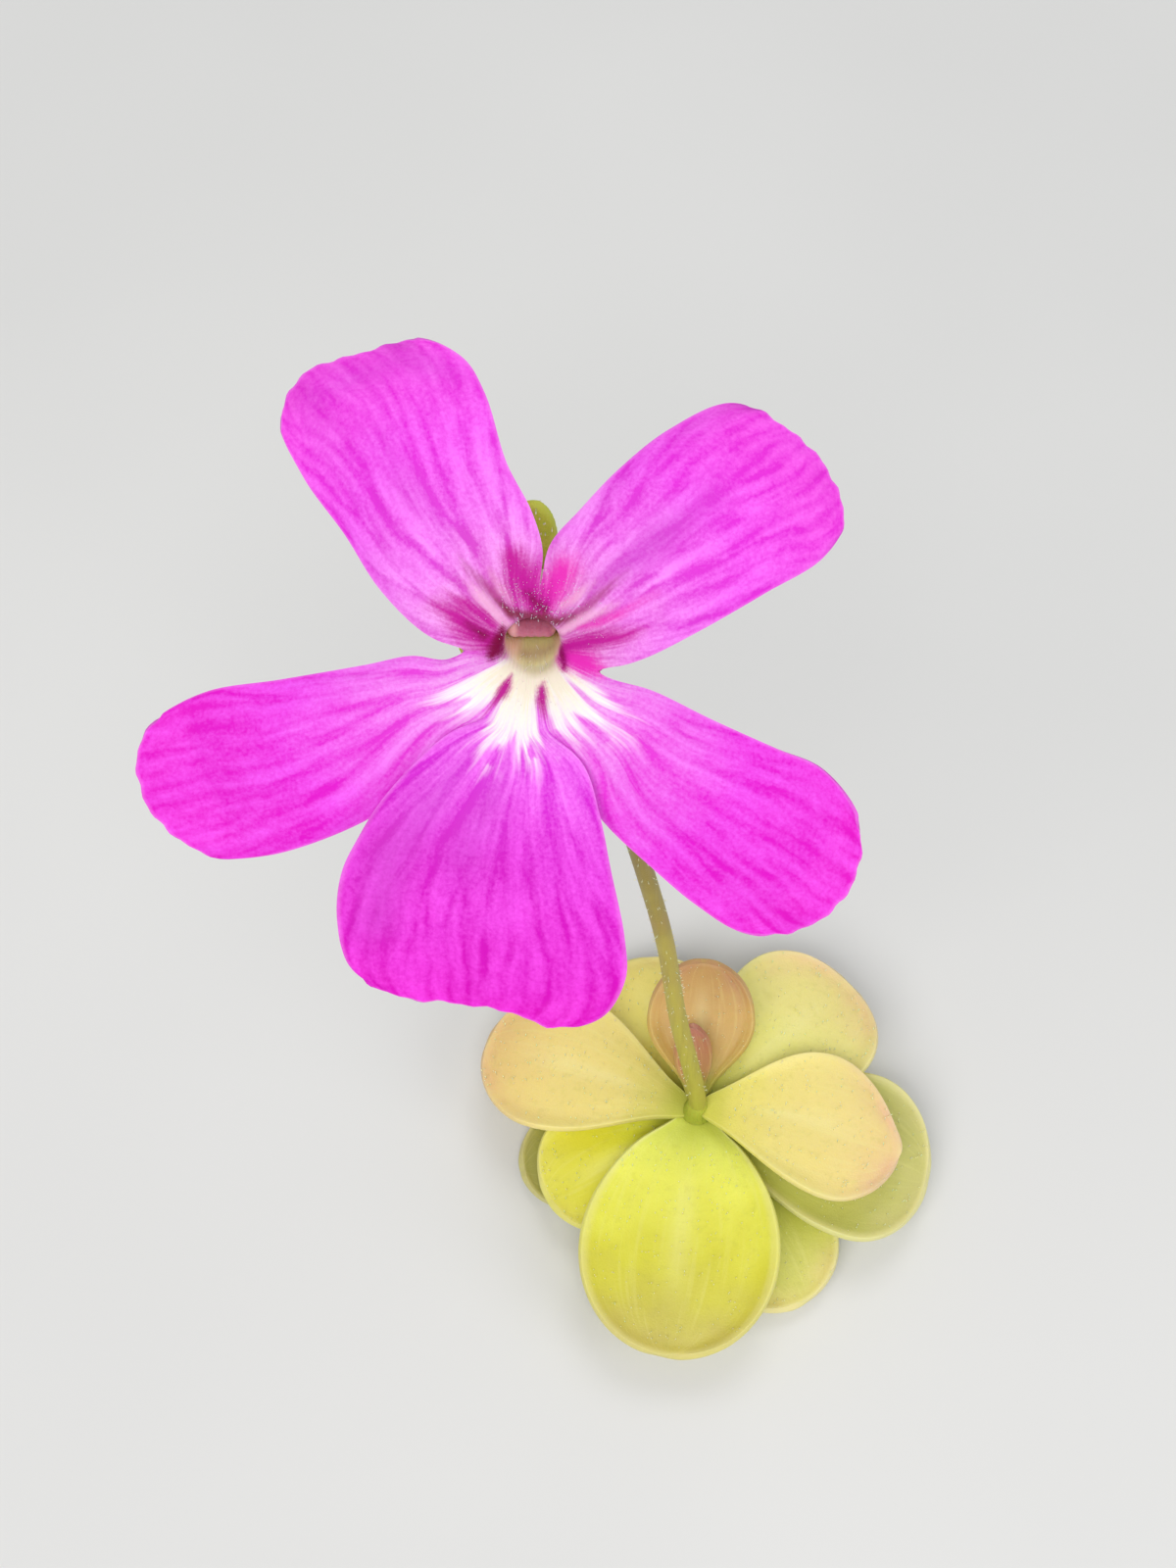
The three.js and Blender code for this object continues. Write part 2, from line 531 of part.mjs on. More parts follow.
// The room inside the tube, closed at both ends, which the spur's root must not fill.
function tubeRoom() {
  const inside = TUBE_RINGS.slice(0, -1).map((ring) => ({
    ...ring, width: ring.width - ROOM_MARGIN, height: ring.height - ROOM_MARGIN,
  }));
  const corners = [];
  const index = [];
  inside.forEach((ring, i) => {
    for (let j = 0; j < ROOM_SIDES; j += 1) {
      corners.push(tubePoint(ring, (j / ROOM_SIDES) * 2 * Math.PI));
      const next = (j + 1) % ROOM_SIDES;
      if (i > 0) {
        const low = (i - 1) * ROOM_SIDES;
        const high = i * ROOM_SIDES;
        index.push(low + j, low + next, high + next, low + j, high + next, high + j);
      }
    }
  });
  const last = (inside.length - 1) * ROOM_SIDES;
  for (let j = 1; j < ROOM_SIDES - 1; j += 1) {
    index.push(0, j + 1, j, last, last + j, last + j + 1);
  }
  const geometry = new THREE.BufferGeometry();
  geometry.setAttribute('position', new THREE.Float32BufferAttribute(corners.flatMap((p) => p.toArray()), 3));
  geometry.setIndex(index);
  return solid(geometry);
}

// Pieces on the tube's axis are made along +Z, which points back out of the tube's end, and +Y is down.
function atTubeEnd(mesh) {
  mesh.position.copy(tubeEnd);
  mesh.rotation.x = Math.PI + tubeTilt;
  return mesh;
}

function calyx() {
  const profile = RECEPTACLE_PROFILE.map(([r, z]) => new THREE.Vector2(r, z));
  const receptacle = new THREE.LatheGeometry(profile, RECEPTACLE_SIDES);
  receptacle.rotateX(Math.PI / 2);
  let body = solid(receptacle);
  for (const row of SEPALS) {
    const sepal = bladeGeometry({ ...SEPAL_SHAPE, ...row, length: row.reach });
    const place = new THREE.Matrix4().makeRotationZ(radians(row.turn - 90));
    sepal.applyMatrix4(new THREE.Matrix4().makeRotationX(Math.PI));
    sepal.applyMatrix4(place);
    sepal.translate(0, 0, SEPAL_SEAT);
    body = body.add(solid(sepal));
  }
  return atTubeEnd(part('calyx', meshed(body), materials.calyx));
}

function pistil() {
  const ovary = new THREE.SphereGeometry(OVARY_RADIUS, 12, 8);
  ovary.translate(...OVARY_PLACE);
  const style = rod(new THREE.CatmullRomCurve3(vectors(STYLE_POINTS)), () => STYLE_RADIUS, 4, 8);
  const flap = new THREE.SphereGeometry(0.5, 12, 8);
  flap.scale(FLAP.width, FLAP.height, FLAP.depth);
  flap.translate(...FLAP.place);
  return atTubeEnd(part('pistil', meshed(solid(ovary).add(solid(style)).add(solid(flap))), materials.pistil));
}

function stamen(name, side) {
  const points = vectors(STAMEN_POINTS.map(([x, y, z]) => [side * x, y, z]));
  const filament = rod(new THREE.CatmullRomCurve3(points), () => STAMEN_RADIUS, 5, 8);
  const anther = new THREE.SphereGeometry(ANTHER_RADIUS, 10, 7);
  anther.translate(...points[points.length - 1].toArray());
  return atTubeEnd(part(name, meshed(solid(filament).add(solid(anther))), materials.stamen));
}

const flower = new THREE.Group();
flower.position.set(...FLOWER_PLACE);
flower.rotation.x = radians(90 - FACE_ELEVATION);
flower.add(corolla(), calyx(), pistil(), stamen('stamen_left', -1), stamen('stamen_right', 1));
flower.updateMatrixWorld(true);

// ---------------------------------------------------------------- scape

// The scape ends square on the receptacle, a seat gap behind it.
function scape() {
  const receptacleBack = RECEPTACLE_PROFILE[RECEPTACLE_PROFILE.length - 1][1];
  const end = tubeEnd.clone().addScaledVector(tubeBack, receptacleBack + SEAT_GAP);
  const hook = end.clone().addScaledVector(tubeBack, SCAPE_HOOK);
  const points = [...vectors(SCAPE_POINTS), flower.localToWorld(hook), flower.localToWorld(end)];
  const radiusAt = (s) => mix(SCAPE_FOOT_RADIUS, SCAPE_TOP_RADIUS, s);
  const line = new THREE.CatmullRomCurve3(points);
  return part('scape', rod(line, radiusAt, SCAPE_STEPS, SCAPE_SIDES), materials.stalk);
}

// ---------------------------------------------------------------- assembly

const butterwort = new THREE.Group();
butterwort.add(crown(), ...LEAVES.map(leaf), scape(), flower);

export default butterwort;
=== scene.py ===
# A butterwort (Pinguicula) in flower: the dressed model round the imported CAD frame.
# Sizes are millimetres until they go into a mesh, which is in metres. +Z is up, -Y is the side that
# the flower faces, and the plant rests on z = 0.
import math
import random
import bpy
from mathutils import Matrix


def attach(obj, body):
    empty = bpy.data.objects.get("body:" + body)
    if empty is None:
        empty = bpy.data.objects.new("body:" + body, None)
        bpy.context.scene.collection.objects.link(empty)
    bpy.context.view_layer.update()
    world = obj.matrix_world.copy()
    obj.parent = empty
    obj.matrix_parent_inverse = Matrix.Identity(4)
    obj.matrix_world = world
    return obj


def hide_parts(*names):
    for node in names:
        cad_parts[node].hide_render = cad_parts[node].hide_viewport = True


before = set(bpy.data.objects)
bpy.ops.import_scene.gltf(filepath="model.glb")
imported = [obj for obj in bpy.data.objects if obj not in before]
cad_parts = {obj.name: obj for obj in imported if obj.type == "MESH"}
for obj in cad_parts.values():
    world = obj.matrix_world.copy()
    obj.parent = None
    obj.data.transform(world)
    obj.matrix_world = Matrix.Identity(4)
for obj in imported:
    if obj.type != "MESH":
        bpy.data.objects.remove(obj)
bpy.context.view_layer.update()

from types import SimpleNamespace

import bpy
import numpy as np
from mathutils import Matrix, Vector

MM = 0.001
TURN = 2 * math.pi

# ---------------------------------------------------------------- the plant's sizes
# They are the CAD source's own, apart from those that a comment calls finer.

SEAT_GAP = 0.25                   # between a piece of the CAD and the one that carries it

# The crown's (radius, height) from its foot up.
CROWN_HEIGHT = 5.9
CROWN_PROFILE = [(2.2, 0.0), (2.4, 0.5), (2.0, 2.0), (1.3, 3.6), (0.9, 4.8), (0.7, CROWN_HEIGHT)]
# Along a root: distance from the crown's axis, share of the sweep, height.
ROOT_POINTS = [(1.2, 0, 0.60), (3.0, 0.2, 0.42), (4.8, 0.6, 0.30), (6.4, 1, 0.24)]
ROOT_COUNT = 7
ROOT_RADIUS = 0.36                # finer than the CAD's
ROOT_SWEEP = 16                   # degrees that a root curves to one side

# A blade's half width at its neck as a share of its greatest, how late it fills out, where it is widest,
# how blunt its tip is, how far that lies to one side, how deep its midrib groove is, how thick it is in
# the middle and at the margin, and how its sides cup upwards.
LEAF_SHAPE = dict(neck=0.34, waist=1.3, widest=0.62, taper=0.5, skew=0.0, crease=0.16, middle=1.05,
                  margin=0.70, cup=0.08)
# Of each leaf: where it stands round the crown, how far it reaches from the axis, its width, its foot's
# height, how steeply it starts and how far it bends down, with angles in degrees; then what is its own.
LEAF_MEASURES = ("azimuth", "reach", "width", "base", "slope", "droop")
LEAVES = [
    ((249, 10.8, 5.6, 1.5, 2, 16), dict(cup=0.06)),
    ((136, 12.2, 6.8, 1.5, 2, 14), dict(cup=0.06)),
    ((12, 11.6, 7.0, 1.5, 2, 15), dict(cup=0.06)),
    ((71, 10.6, 6.4, 1.5, 2, 16), dict(cup=0.06)),
    ((194, 11.2, 6.8, 1.5, 2, 15), dict(cup=0.06)),
    ((300, 12.9, 8.4, 2.25, 2, 17), {}),
    ((208, 10.5, 8.0, 2.75, 4, 14), {}),
    ((345, 14.8, 10.8, 3.25, 5, 18), dict(widest=0.66)),
    ((262, 15.1, 12.0, 4.15, 8, 26), dict(cup=0.14, widest=0.56, waist=0.75)),
    ((41, 13.2, 10.2, 4.25, 8, 20), dict(widest=0.64)),
    ((111, 11.3, 8.0, 3.0, 9, 18), {}),
    ((161, 13.9, 9.2, 4.4, 11, 25), dict(cup=0.06, widest=0.64, neck=0.22)),
    ((352, 12.6, 9.2, 5.32, 13, 28), dict(cup=0.05, widest=0.60, neck=0.24, waist=1.2, taper=0.72,
                                          skew=-1.4)),
    ((87, 8.4, 6.6, 5.05, 32, 14), dict(cup=0.14, widest=0.52, neck=0.26)),
    ((97, 3.9, 2.3, 5.85, 58, 20), dict(cup=0.10, widest=0.50, neck=0.6, crease=0.0, middle=0.70)),
]

# The flower stalk, above the crown's top.
SCAPE_POINTS = [(-0.3, -0.2, 9.3), (-1.69, -0.15, 19.8), (-2.73, -0.5, 30.8), (-3.95, -1.2, 40.4),
                (-6.2, -1.9, 55.0), (-7.7, -2.15, 64.5)]
SCAPE_HOOK = 1.5                  # how far it runs on along the flower's tube before it meets it
SCAPE_FOOT_RADIUS = 0.55
SCAPE_TOP_RADIUS = 0.38

FLOWER = Matrix.Translation((-8.6, -8.9, 73.6)) @ Matrix.Rotation(math.radians(30), 4, "X")

# Lobe outlines in the flower's face, from one notch between two lobes to the next. The foot of the bottom
# lobe is finer than the CAD's.
NOTCH_RIGHT = (2.15, -0.50)
NOTCH_TOP = (0.20, 2.50)
NOTCH_LEFT = (-2.36, 0.20)
NOTCH_LOWER_LEFT = (-1.68, -2.08)
NOTCH_LOWER_RIGHT = (0.44, -2.52)
LOBES = [
    dict(lean=(0.0, 0.15), arch=0.55, curl=0.9, outline=[
        NOTCH_RIGHT, (3.66, -0.07), (5.44, 0.81), (7.89, 2.21), (9.90, 3.46), (10.64, 4.87), (9.95, 6.62),
        (8.39, 8.02), (6.71, 8.69), (4.60, 7.75), (2.89, 6.38), (1.54, 4.97), (0.57, 3.86), NOTCH_TOP]),
    dict(lean=(0.15, 0.0), arch=0.55, curl=1.0, outline=[
        NOTCH_TOP, (0.27, 3.69), (-0.10, 4.97), (-0.94, 6.61), (-1.68, 8.99), (-2.42, 10.23),
        (-3.86, 10.94), (-5.50, 10.54), (-8.05, 9.66), (-8.76, 8.19), (-7.95, 6.21), (-6.48, 4.19),
        (-5.27, 2.32), (-3.72, 0.81), NOTCH_LEFT]),
    dict(lean=(0.1, -0.65), arch=0.45, curl=0.7, outline=[
        NOTCH_LEFT, (-3.05, -0.10), (-4.19, 0.03), (-5.74, -0.27), (-8.69, -0.77), (-11.24, -1.17),
        (-12.85, -1.98), (-13.66, -2.95), (-13.76, -4.05), (-13.22, -5.57), (-11.17, -6.91), (-9.26, -6.85),
        (-6.54, -5.94), (-5.00, -5.06), (-3.93, -3.88), (-2.80, -2.64), NOTCH_LOWER_LEFT]),
    dict(lean=(0.5, 0.5), arch=0.35, curl=1.1, outline=[
        NOTCH_LOWER_LEFT, (-2.94, -2.64), (-4.22, -3.78), (-5.25, -4.95), (-5.98, -6.10), (-6.62, -7.40),
        (-6.81, -9.06), (-6.40, -10.70), (-4.63, -11.74), (-2.92, -11.98), (-0.91, -12.25), (0.50, -12.79),
        (2.35, -12.42), (3.12, -11.11), (3.09, -9.67), (2.60, -7.25), (2.22, -5.38), (1.68, -3.72),
        NOTCH_LOWER_RIGHT]),
    dict(lean=(-0.65, 0.1), arch=0.45, curl=0.8, outline=[
        NOTCH_LOWER_RIGHT, (1.54, -3.70), (2.06, -5.20), (2.60, -5.90), (3.93, -7.15), (5.60, -8.59),
        (7.28, -9.60), (9.06, -9.53), (10.74, -8.36), (11.31, -6.74), (11.04, -5.27), (9.90, -3.83),
        (8.29, -3.12), (6.11, -2.15), (3.99, -1.14), (2.85, -0.82), NOTCH_RIGHT]),
]
TIP_SPAN = (0.38, 0.62)           # the share of a lobe's outline that is its tip
BASE_BULGE = 0.12                 # how far a lobe's foot bows out round the throat
LEAN_START = 2.95                 # how far from the throat's middle the lobes part, each to its own lean,
LEAN_SPAN = 3.0                   # and over what distance
CURL_START = 1.2                  # how far from it they begin to arch and curl back,
CURL_SPAN = 11.0                  # and over what distance

# The throat's middle, how deep its edge lies at the roof and the floor, and where the limb starts to dip.
# Its x is finer: the middle lies 0.07 to the left of the CAD's.
RIM = dict(x=-0.10, y=0.35, roof=-0.55, floor=-0.95, flare=3.3)
TUBE_TILT = math.radians(27)
TUBE_LENGTH = 4.2
# From the tube's end to its rim: share of its length, half width, half height. They are finer, and up to
# 0.28 less than the CAD's.
TUBE_RINGS = [(1.00, 0.92, 0.92), (0.93, 1.12, 1.12), (0.75, 1.32, 1.30), (0.45, 1.25, 1.20),
              (0.18, 1.06, 1.02), (0.00, 1.18, 1.08)]
TUBE_STRAIGHT = 0.3               # share of the tube's length over which it comes to its tilt

SPUR_POINTS = [(0, 1.05, -3.6), (0, 0.1, -4.9), (0, -1.9, -7.6), (0, -4.6, -10.0), (0, -7.2, -11.9)]
SPUR_RADII = (1.0, 0.52)

# The receptacle's (radius, height) behind the tube, and the sepals, in degrees round it.
RECEPTACLE_PROFILE = [(0.5, -0.15), (0.5, 0.42), (1.0, 0.55), (0.9, 1.0), (0.45, 1.3)]
SEPALS = [dict(turn=0, reach=3.9, width=1.65), dict(turn=68, reach=3.9, width=1.7),
          dict(turn=131, reach=3.6, width=1.6), dict(turn=229, reach=3.6, width=1.6),
          dict(turn=292, reach=3.9, width=1.7)]
SEPAL_SHAPE = dict(start=0.0, neck=0.62, waist=1.5, widest=0.55, taper=0.55, skew=0.0, cup=0.1, crease=0.0,
                   middle=0.66, margin=0.6, slope=2, droop=-26)
SEPAL_SEAT = 0.78                 # how far behind the tube's end the sepals' plane lies

OVARY_RADIUS = 0.55
OVARY_PLACE = (0, -0.02, -0.93)
STYLE_POINTS = [(0, -0.35, -1.3), (0, -0.52, -2.2), (0, -0.44, -3.05)]
STYLE_RADIUS = 0.26
FLAP = dict(width=1.3, height=0.44, depth=0.6, y=-0.4, z=-3.3)
STAMEN_POINTS = [(0.40, 0.46, -0.42), (0.62, 0.52, -1.0), (0.44, 0.38, -1.65)]
STAMEN_RADIUS = 0.17
ANTHER_RADIUS = 0.32

# ---------------------------------------------------------------- camera, light and floor

CAMERA_PLACE = (-6.765, -50.27, 142.16)
CAMERA_ELEVATION = 62
CAMERA_LENS = 53.64
CAMERA_SENSOR = 36
CAMERA_RANGE = (1, 10000)
PLANT_MIDDLE = Vector((-2.0, -4.0, 45.0))
LAMPS = [
    dict(name="key_lamp", place=(-260, -420, 560), size=420, power=2.15, tint=(1.0, 0.98, 0.95)),
    dict(name="side_lamp", place=(420, -260, 330), size=400, power=0.85, tint=(0.97, 0.98, 1.0)),
    dict(name="front_lamp", place=(0, -330, 620), size=300, power=1.3, tint=(1.0, 1.0, 1.0)),
    dict(name="back_lamp", place=(60, 260, 520), size=300, power=0.55, tint=(1.0, 1.0, 1.0)),
]
SKY = (0.80, 0.82, 0.85, 1.0)
SKY_STRENGTH = 0.34
FLOOR_WIDTH = 3000


def studio():
    scene = bpy.context.scene
    scene.view_settings.view_transform = "Standard"
    scene.view_settings.look = "None"
    bpy.ops.object.camera_add(location=Vector(CAMERA_PLACE) * MM,
                              rotation=(math.radians(90 - CAMERA_ELEVATION), 0, 0))
    camera = bpy.context.object
    camera.name = "camera"
    camera.data.lens = CAMERA_LENS
    camera.data.sensor_width = CAMERA_SENSOR
    camera.data.clip_start, camera.data.clip_end = (reach * MM for reach in CAMERA_RANGE)
    scene.camera = camera
    for lamp in LAMPS:
        place = Vector(lamp["place"]) * MM
        aim = (PLANT_MIDDLE * MM - place).to_track_quat("-Z", "Y")
        bpy.ops.object.light_add(type="AREA", location=place, rotation=aim.to_euler())
        light = bpy.context.object
        light.name = lamp["name"]
        light.data.shape = "DISK"
        light.data.size = lamp["size"] * MM
        light.data.energy = lamp["power"]
        light.data.color = lamp["tint"]
    world = bpy.data.worlds.new("sky")
    world.use_nodes = True
    world.node_tree.nodes["Background"].inputs["Color"].default_value = SKY
    world.node_tree.nodes["Background"].inputs["Strength"].default_value = SKY_STRENGTH
    scene.world = world
    bpy.ops.mesh.primitive_plane_add(size=FLOOR_WIDTH * MM)
    floor = named(bpy.context.object, "floor")
    floor.data.materials.append(floor_finish())


# ---------------------------------------------------------------- shader kit

def shade(code):
    """A colour written as rrggbb, in the linear values that sockets take."""
    parts = [int(code[k:k + 2], 16) / 255 for k in (0, 2, 4)]
    linear = [c / 12.92 if c <= 0.04045 else ((c + 0.055) / 1.055) ** 2.4 for c in parts]
    return (*linear, 1.0)


def operators(operation):
    """An operator and its reflected form; each use adds one Math node."""
    return (lambda self, other: self.skin.maths(operation, self, other),
            lambda self, other: self.skin.maths(operation, other, self))


class Value:
    """A number inside a material; arithmetic on it adds Math nodes."""

    __add__, __radd__ = operators("ADD")
    __sub__, __rsub__ = operators("SUBTRACT")
    __mul__, __rmul__ = operators("MULTIPLY")
    __truediv__, __rtruediv__ = operators("DIVIDE")
    __pow__, __rpow__ = operators("POWER")

    def __init__(self, skin, socket):
        self.skin = skin
        self.socket = socket

    def __neg__(self):
        return 0 - self

    def __abs__(self):
        return self.skin.maths("ABSOLUTE", self)


# How far red, green and blue light spread inside a piece, as shares of its glow's depth.
RED_GLOW = (1.0, 0.2, 0.1)
GREEN_GLOW = (1.0, 0.9, 0.35)


class Skin:
    """A procedural material: its constants go on the shader, its patterns into a few sockets."""

    def __init__(self, name, glow=0.0, glow_depth=0.0, glow_spread=RED_GLOW, **fixed):
        self.material = bpy.data.materials.new(name)
        self.material.use_nodes = True
        self.nodes = self.material.node_tree.nodes
        self.links = self.material.node_tree.links
        self.shader = self.nodes["Principled BSDF"]
        fixed.update(subsurface_weight=glow, subsurface_scale=glow_depth * MM, subsurface_radius=glow_spread)
        for words, value in fixed.items():
            self.shader.inputs[words.replace("_", " ").title().replace("Ior", "IOR")].default_value = value

    def feed(self, socket, value):
        source = value.socket if isinstance(value, Value) else value
        if isinstance(source, bpy.types.NodeSocket):
            self.links.new(source, socket)
        else:
            socket.default_value = value

    def node(self, kind, settings=None, sockets=None):
        made = self.nodes.new(kind)
        for name, value in (settings or {}).items():
            setattr(made, name, value)
        for name, value in (sockets or {}).items():
            self.feed(made.inputs[name], value)
        return made

    def maths(self, operation, first, second=None):
        sockets = {0: first} if second is None else {0: first, 1: second}
        return Value(self, self.node("ShaderNodeMath", {"operation": operation}, sockets).outputs[0])

    def floor(self, value):
        return self.maths("FLOOR", value)

    def larger(self, first, second):
        return self.maths("MAXIMUM", first, second)

    def smaller(self, first, second):
        return self.maths("MINIMUM", first, second)

    def step(self, value, low, high):
        """0 at low, 1 at high, smooth between them."""
        made = self.node("ShaderNodeMapRange", {"interpolation_type": "SMOOTHSTEP"},
                         {"Value": value, "From Min": low, "From Max": high})
        return Value(self, made.outputs["Result"])

    def bell(self, distance, width):
        share = distance / width
        return math.e ** -(share * share)

    def split(self, vector):
        made = self.node("ShaderNodeSeparateXYZ", None, {0: vector})
        return [Value(self, made.outputs[k]) for k in range(3)]

    def laid(self, name):
        """The two values of one of the piece's UV maps."""
        across, along, _ = self.split(self.node("ShaderNodeUVMap", {"uv_map": name}).outputs[0])
        return across, along

    def mark(self, name):
        """A number that each point of the mesh carries."""
        made = self.node("ShaderNodeAttribute", {"attribute_name": name, "attribute_type": "GEOMETRY"})
        return Value(self, made.outputs["Fac"])

    def place(self):
        """Object coordinates in millimetres."""
        made = self.node("ShaderNodeTexCoord")
        return self.node("ShaderNodeVectorMath", {"operation": "SCALE"},
                         {0: made.outputs["Object"], "Scale": 1 / MM}).outputs[0]

    def noise(self, vector, scale=1.0, detail=2.0, roughness=0.5):
        made = self.node("ShaderNodeTexNoise", None,
                         {"Vector": vector, "Scale": scale, "Detail": detail, "Roughness": roughness})
        return Value(self, made.outputs[0])

    def noise_at(self, x, y, z, detail=2.0):
        """Noise at a point given by three values."""
        point = self.node("ShaderNodeCombineXYZ", None, {"X": x, "Y": y, "Z": z}).outputs[0]
        return self.noise(point, detail=detail)

    def mix(self, factor, first, second):
        made = self.node("ShaderNodeMix", {"data_type": "RGBA", "clamp_factor": True},
                         {0: factor, 6: first, 7: second})
        return made.outputs[2]

    def over(self, under, amount, code):
        """A colour laid over another by this amount."""
        return self.mix(amount, under, shade(code))

    def ramp(self, value, stops):
        """Colours at places along a value."""
        made = self.node("ShaderNodeValToRGB", None, {"Fac": value})
        band = made.color_ramp
        while len(band.elements) < len(stops):
            band.elements.new(0.5)
        for element, (place, colour) in zip(band.elements, stops):
            element.position = place
            element.color = shade(colour)
        return made.outputs["Color"]

    def finished(self, colour, rough=None, relief=None, depth=0.0):
        """The material, with what varies over it; relief is bump, whose full range is depth millimetres."""
        self.feed(self.shader.inputs["Base Color"], colour)
        if rough is not None:
            self.feed(self.shader.inputs["Roughness"], rough)
        if relief is not None:
            bump = self.node("ShaderNodeBump", None,
                             {"Height": relief, "Strength": 1.0, "Distance": depth * MM})
            self.feed(self.shader.inputs["Normal"], bump.outputs[0])
        return self.material


def floor_finish():
    skin = Skin("floor_paint", roughness=0.9, specular_ior_level=0.2)
    grain = skin.noise(skin.place(), 0.02)
    return skin.finished(skin.ramp(grain, [(0.0, "dcdcda"), (1.0, "e6e6e4")]))


# ---------------------------------------------------------------- modelling kit

WELD = 0.001                      # points nearer to each other than this become one
SMOOTHING = 0.5
BALL_SIDES = 24
BALL_RINGS = 16


def smooth(value):
    x = min(max(value, 0.0), 1.0)
    return x * x * (3 - 2 * x)


def lerp(first, second, share):
    return first + (second - first) * share


def named(piece, name):
    piece.name = name
    piece.data.name = name
    return piece


def pick(*pieces):
    """Selects these pieces and nothing else; the first is the active one."""
    bpy.ops.object.select_all(action="DESELECT")
    for piece in pieces:
        piece.select_set(True)
    bpy.context.view_layer.objects.active = pieces[0]


def edit(piece, *steps):
    """Edit-mode steps on all of a piece."""
    pick(piece)
    bpy.ops.object.mode_set(mode="EDIT")
    bpy.ops.mesh.select_all(action="SELECT")
    for step in steps:
        step()
    bpy.ops.object.mode_set(mode="OBJECT")


def weld(distance):
    return lambda: bpy.ops.mesh.remove_doubles(threshold=distance * MM)


def outwards():
    bpy.ops.mesh.normals_make_consistent(inside=False)


def applied(piece, kind, **settings):
    """Adds a modifier and applies it."""
    pick(piece)
    modifier = piece.modifiers.new(kind.lower(), kind)
    for name, value in settings.items():
        setattr(modifier, name, value)
    bpy.ops.object.modifier_apply(modifier=modifier.name)
    return piece


def joined(name, pieces):
    pick(*pieces)
    if len(pieces) > 1:
        bpy.ops.object.join()
    return named(bpy.context.object, name)


def placed(piece, matrix):
    """Puts a place in millimetres into the mesh."""
    piece.data.transform(Matrix.Scale(MM, 4) @ matrix @ Matrix.Scale(1 / MM, 4))
    piece.data.update()
    return piece


def rounded(piece, angle=None):
    """Shades a piece smoothly, apart from edges sharper than the angle in degrees."""
    pick(piece)
    if angle is None:
        bpy.ops.object.shade_smooth()
    else:
        bpy.ops.object.shade_smooth_by_angle(angle=math.radians(angle))
    return piece


def dressed(piece, material, slot, *nodes):
    """Gives a piece its finish and its body, and hides the CAD nodes that it stands for. The slot is not
    used.
    """
    if material is not None:
        piece.data.materials.clear()
        piece.data.materials.append(material)
    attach(piece, "root")
    if nodes:
        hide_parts(*nodes)
    return piece


class Line:
    """A smooth line through points, as long as its arc."""

    def __init__(self, points, steps=24):
        spots = [np.array(point, float) for point in points]
        ends = [2 * spots[0] - spots[1]] + spots + [2 * spots[-1] - spots[-2]]
        trail = [spots[0]]
        for before, start, end, after in zip(ends, ends[1:], ends[2:], ends[3:]):
            a, b, c = (np.linalg.norm(q - p) ** 0.5 for p, q in ((before, start), (start, end), (end, after)))
            leave = ((start - before) / a - (end - before) / (a + b) + (end - start) / b) * b
            arrive = ((end - start) / b - (after - start) / (b + c) + (after - end) / c) * b
            for k in range(1, steps + 1):
                t = k / steps
                trail.append((2 * t ** 3 - 3 * t ** 2 + 1) * start + (t ** 3 - 2 * t ** 2 + t) * leave
                             + (3 * t ** 2 - 2 * t ** 3) * end + (t ** 3 - t ** 2) * arrive)
        self.trail = np.array(trail)
        legs = np.linalg.norm(np.diff(self.trail, axis=0), axis=1)
        self.place = np.concatenate([[0.0], np.cumsum(legs)]) / legs.sum()

    def at(self, share):
        return np.array([np.interp(share, self.place, column) for column in self.trail.T])


def sheet(name, columns, rows, place, maps):
    """A grid bent onto the surface place(across, along), with UV maps from rules on the same values."""
    bpy.ops.mesh.primitive_grid_add(x_subdivisions=columns, y_subdivisions=rows, size=1, calc_uvs=False)
    piece = named(bpy.context.object, name)
    spots = [(corner.co.x + 0.5, corner.co.y + 0.5) for corner in piece.data.vertices]
    for corner, (across, along) in zip(piece.data.vertices, spots):
        corner.co = Vector(place(across, along)) * MM
    for title, rule in maps.items():
        layer = piece.data.uv_layers.new(name=title)
        values = [rule(*spot) for spot in spots]
        flat = [number for loop in piece.data.loops for number in values[loop.vertex_index]]
        layer.data.foreach_set("uv", flat)
    return piece


def swept(name, line, radius_at, steps, rings=2):
    """A round rod along a line, closed at both ends; radius_at takes the share of its length."""
    curve = bpy.data.curves.new(name, "CURVE")
    curve.dimensions = "3D"
    curve.bevel_depth = MM
    curve.bevel_resolution = rings
    curve.use_fill_caps = True
    spline = curve.splines.new("POLY")
    spline.points.add(steps)
    for k, point in enumerate(spline.points):
        point.co = (*(line.at(k / steps) * MM), 1.0)
        point.radius = radius_at(k / steps)
    rod = bpy.data.objects.new(name, curve)
    bpy.context.collection.objects.link(rod)
    pick(rod)
    bpy.ops.object.convert(target="MESH")
    rod = bpy.context.object
    edit(rod, weld(WELD), outwards)
    return rod


def turned(name, profile, sides):
    """A solid of revolution about +Z: a disc, extruded and scaled ring by ring."""
    (radius, height), *rest = profile
    bpy.ops.mesh.primitive_circle_add(vertices=sides, radius=radius * MM, location=(0, 0, height * MM),
                                      fill_type="NGON")
    piece = named(bpy.context.object, name)
    bpy.ops.object.transform_apply(location=True, rotation=False, scale=False)
    bpy.ops.object.mode_set(mode="EDIT")
    bpy.ops.mesh.select_all(action="SELECT")
    for wide, high in rest:
        bpy.ops.mesh.extrude_region_move(TRANSFORM_OT_translate={"value": (0, 0, (high - height) * MM)})
        bpy.ops.transform.resize(value=(wide / radius, wide / radius, 1), center_override=(0, 0, high * MM))
        radius, height = wide, high
    bpy.ops.object.mode_set(mode="OBJECT")
    edit(piece, outwards)
    return piece


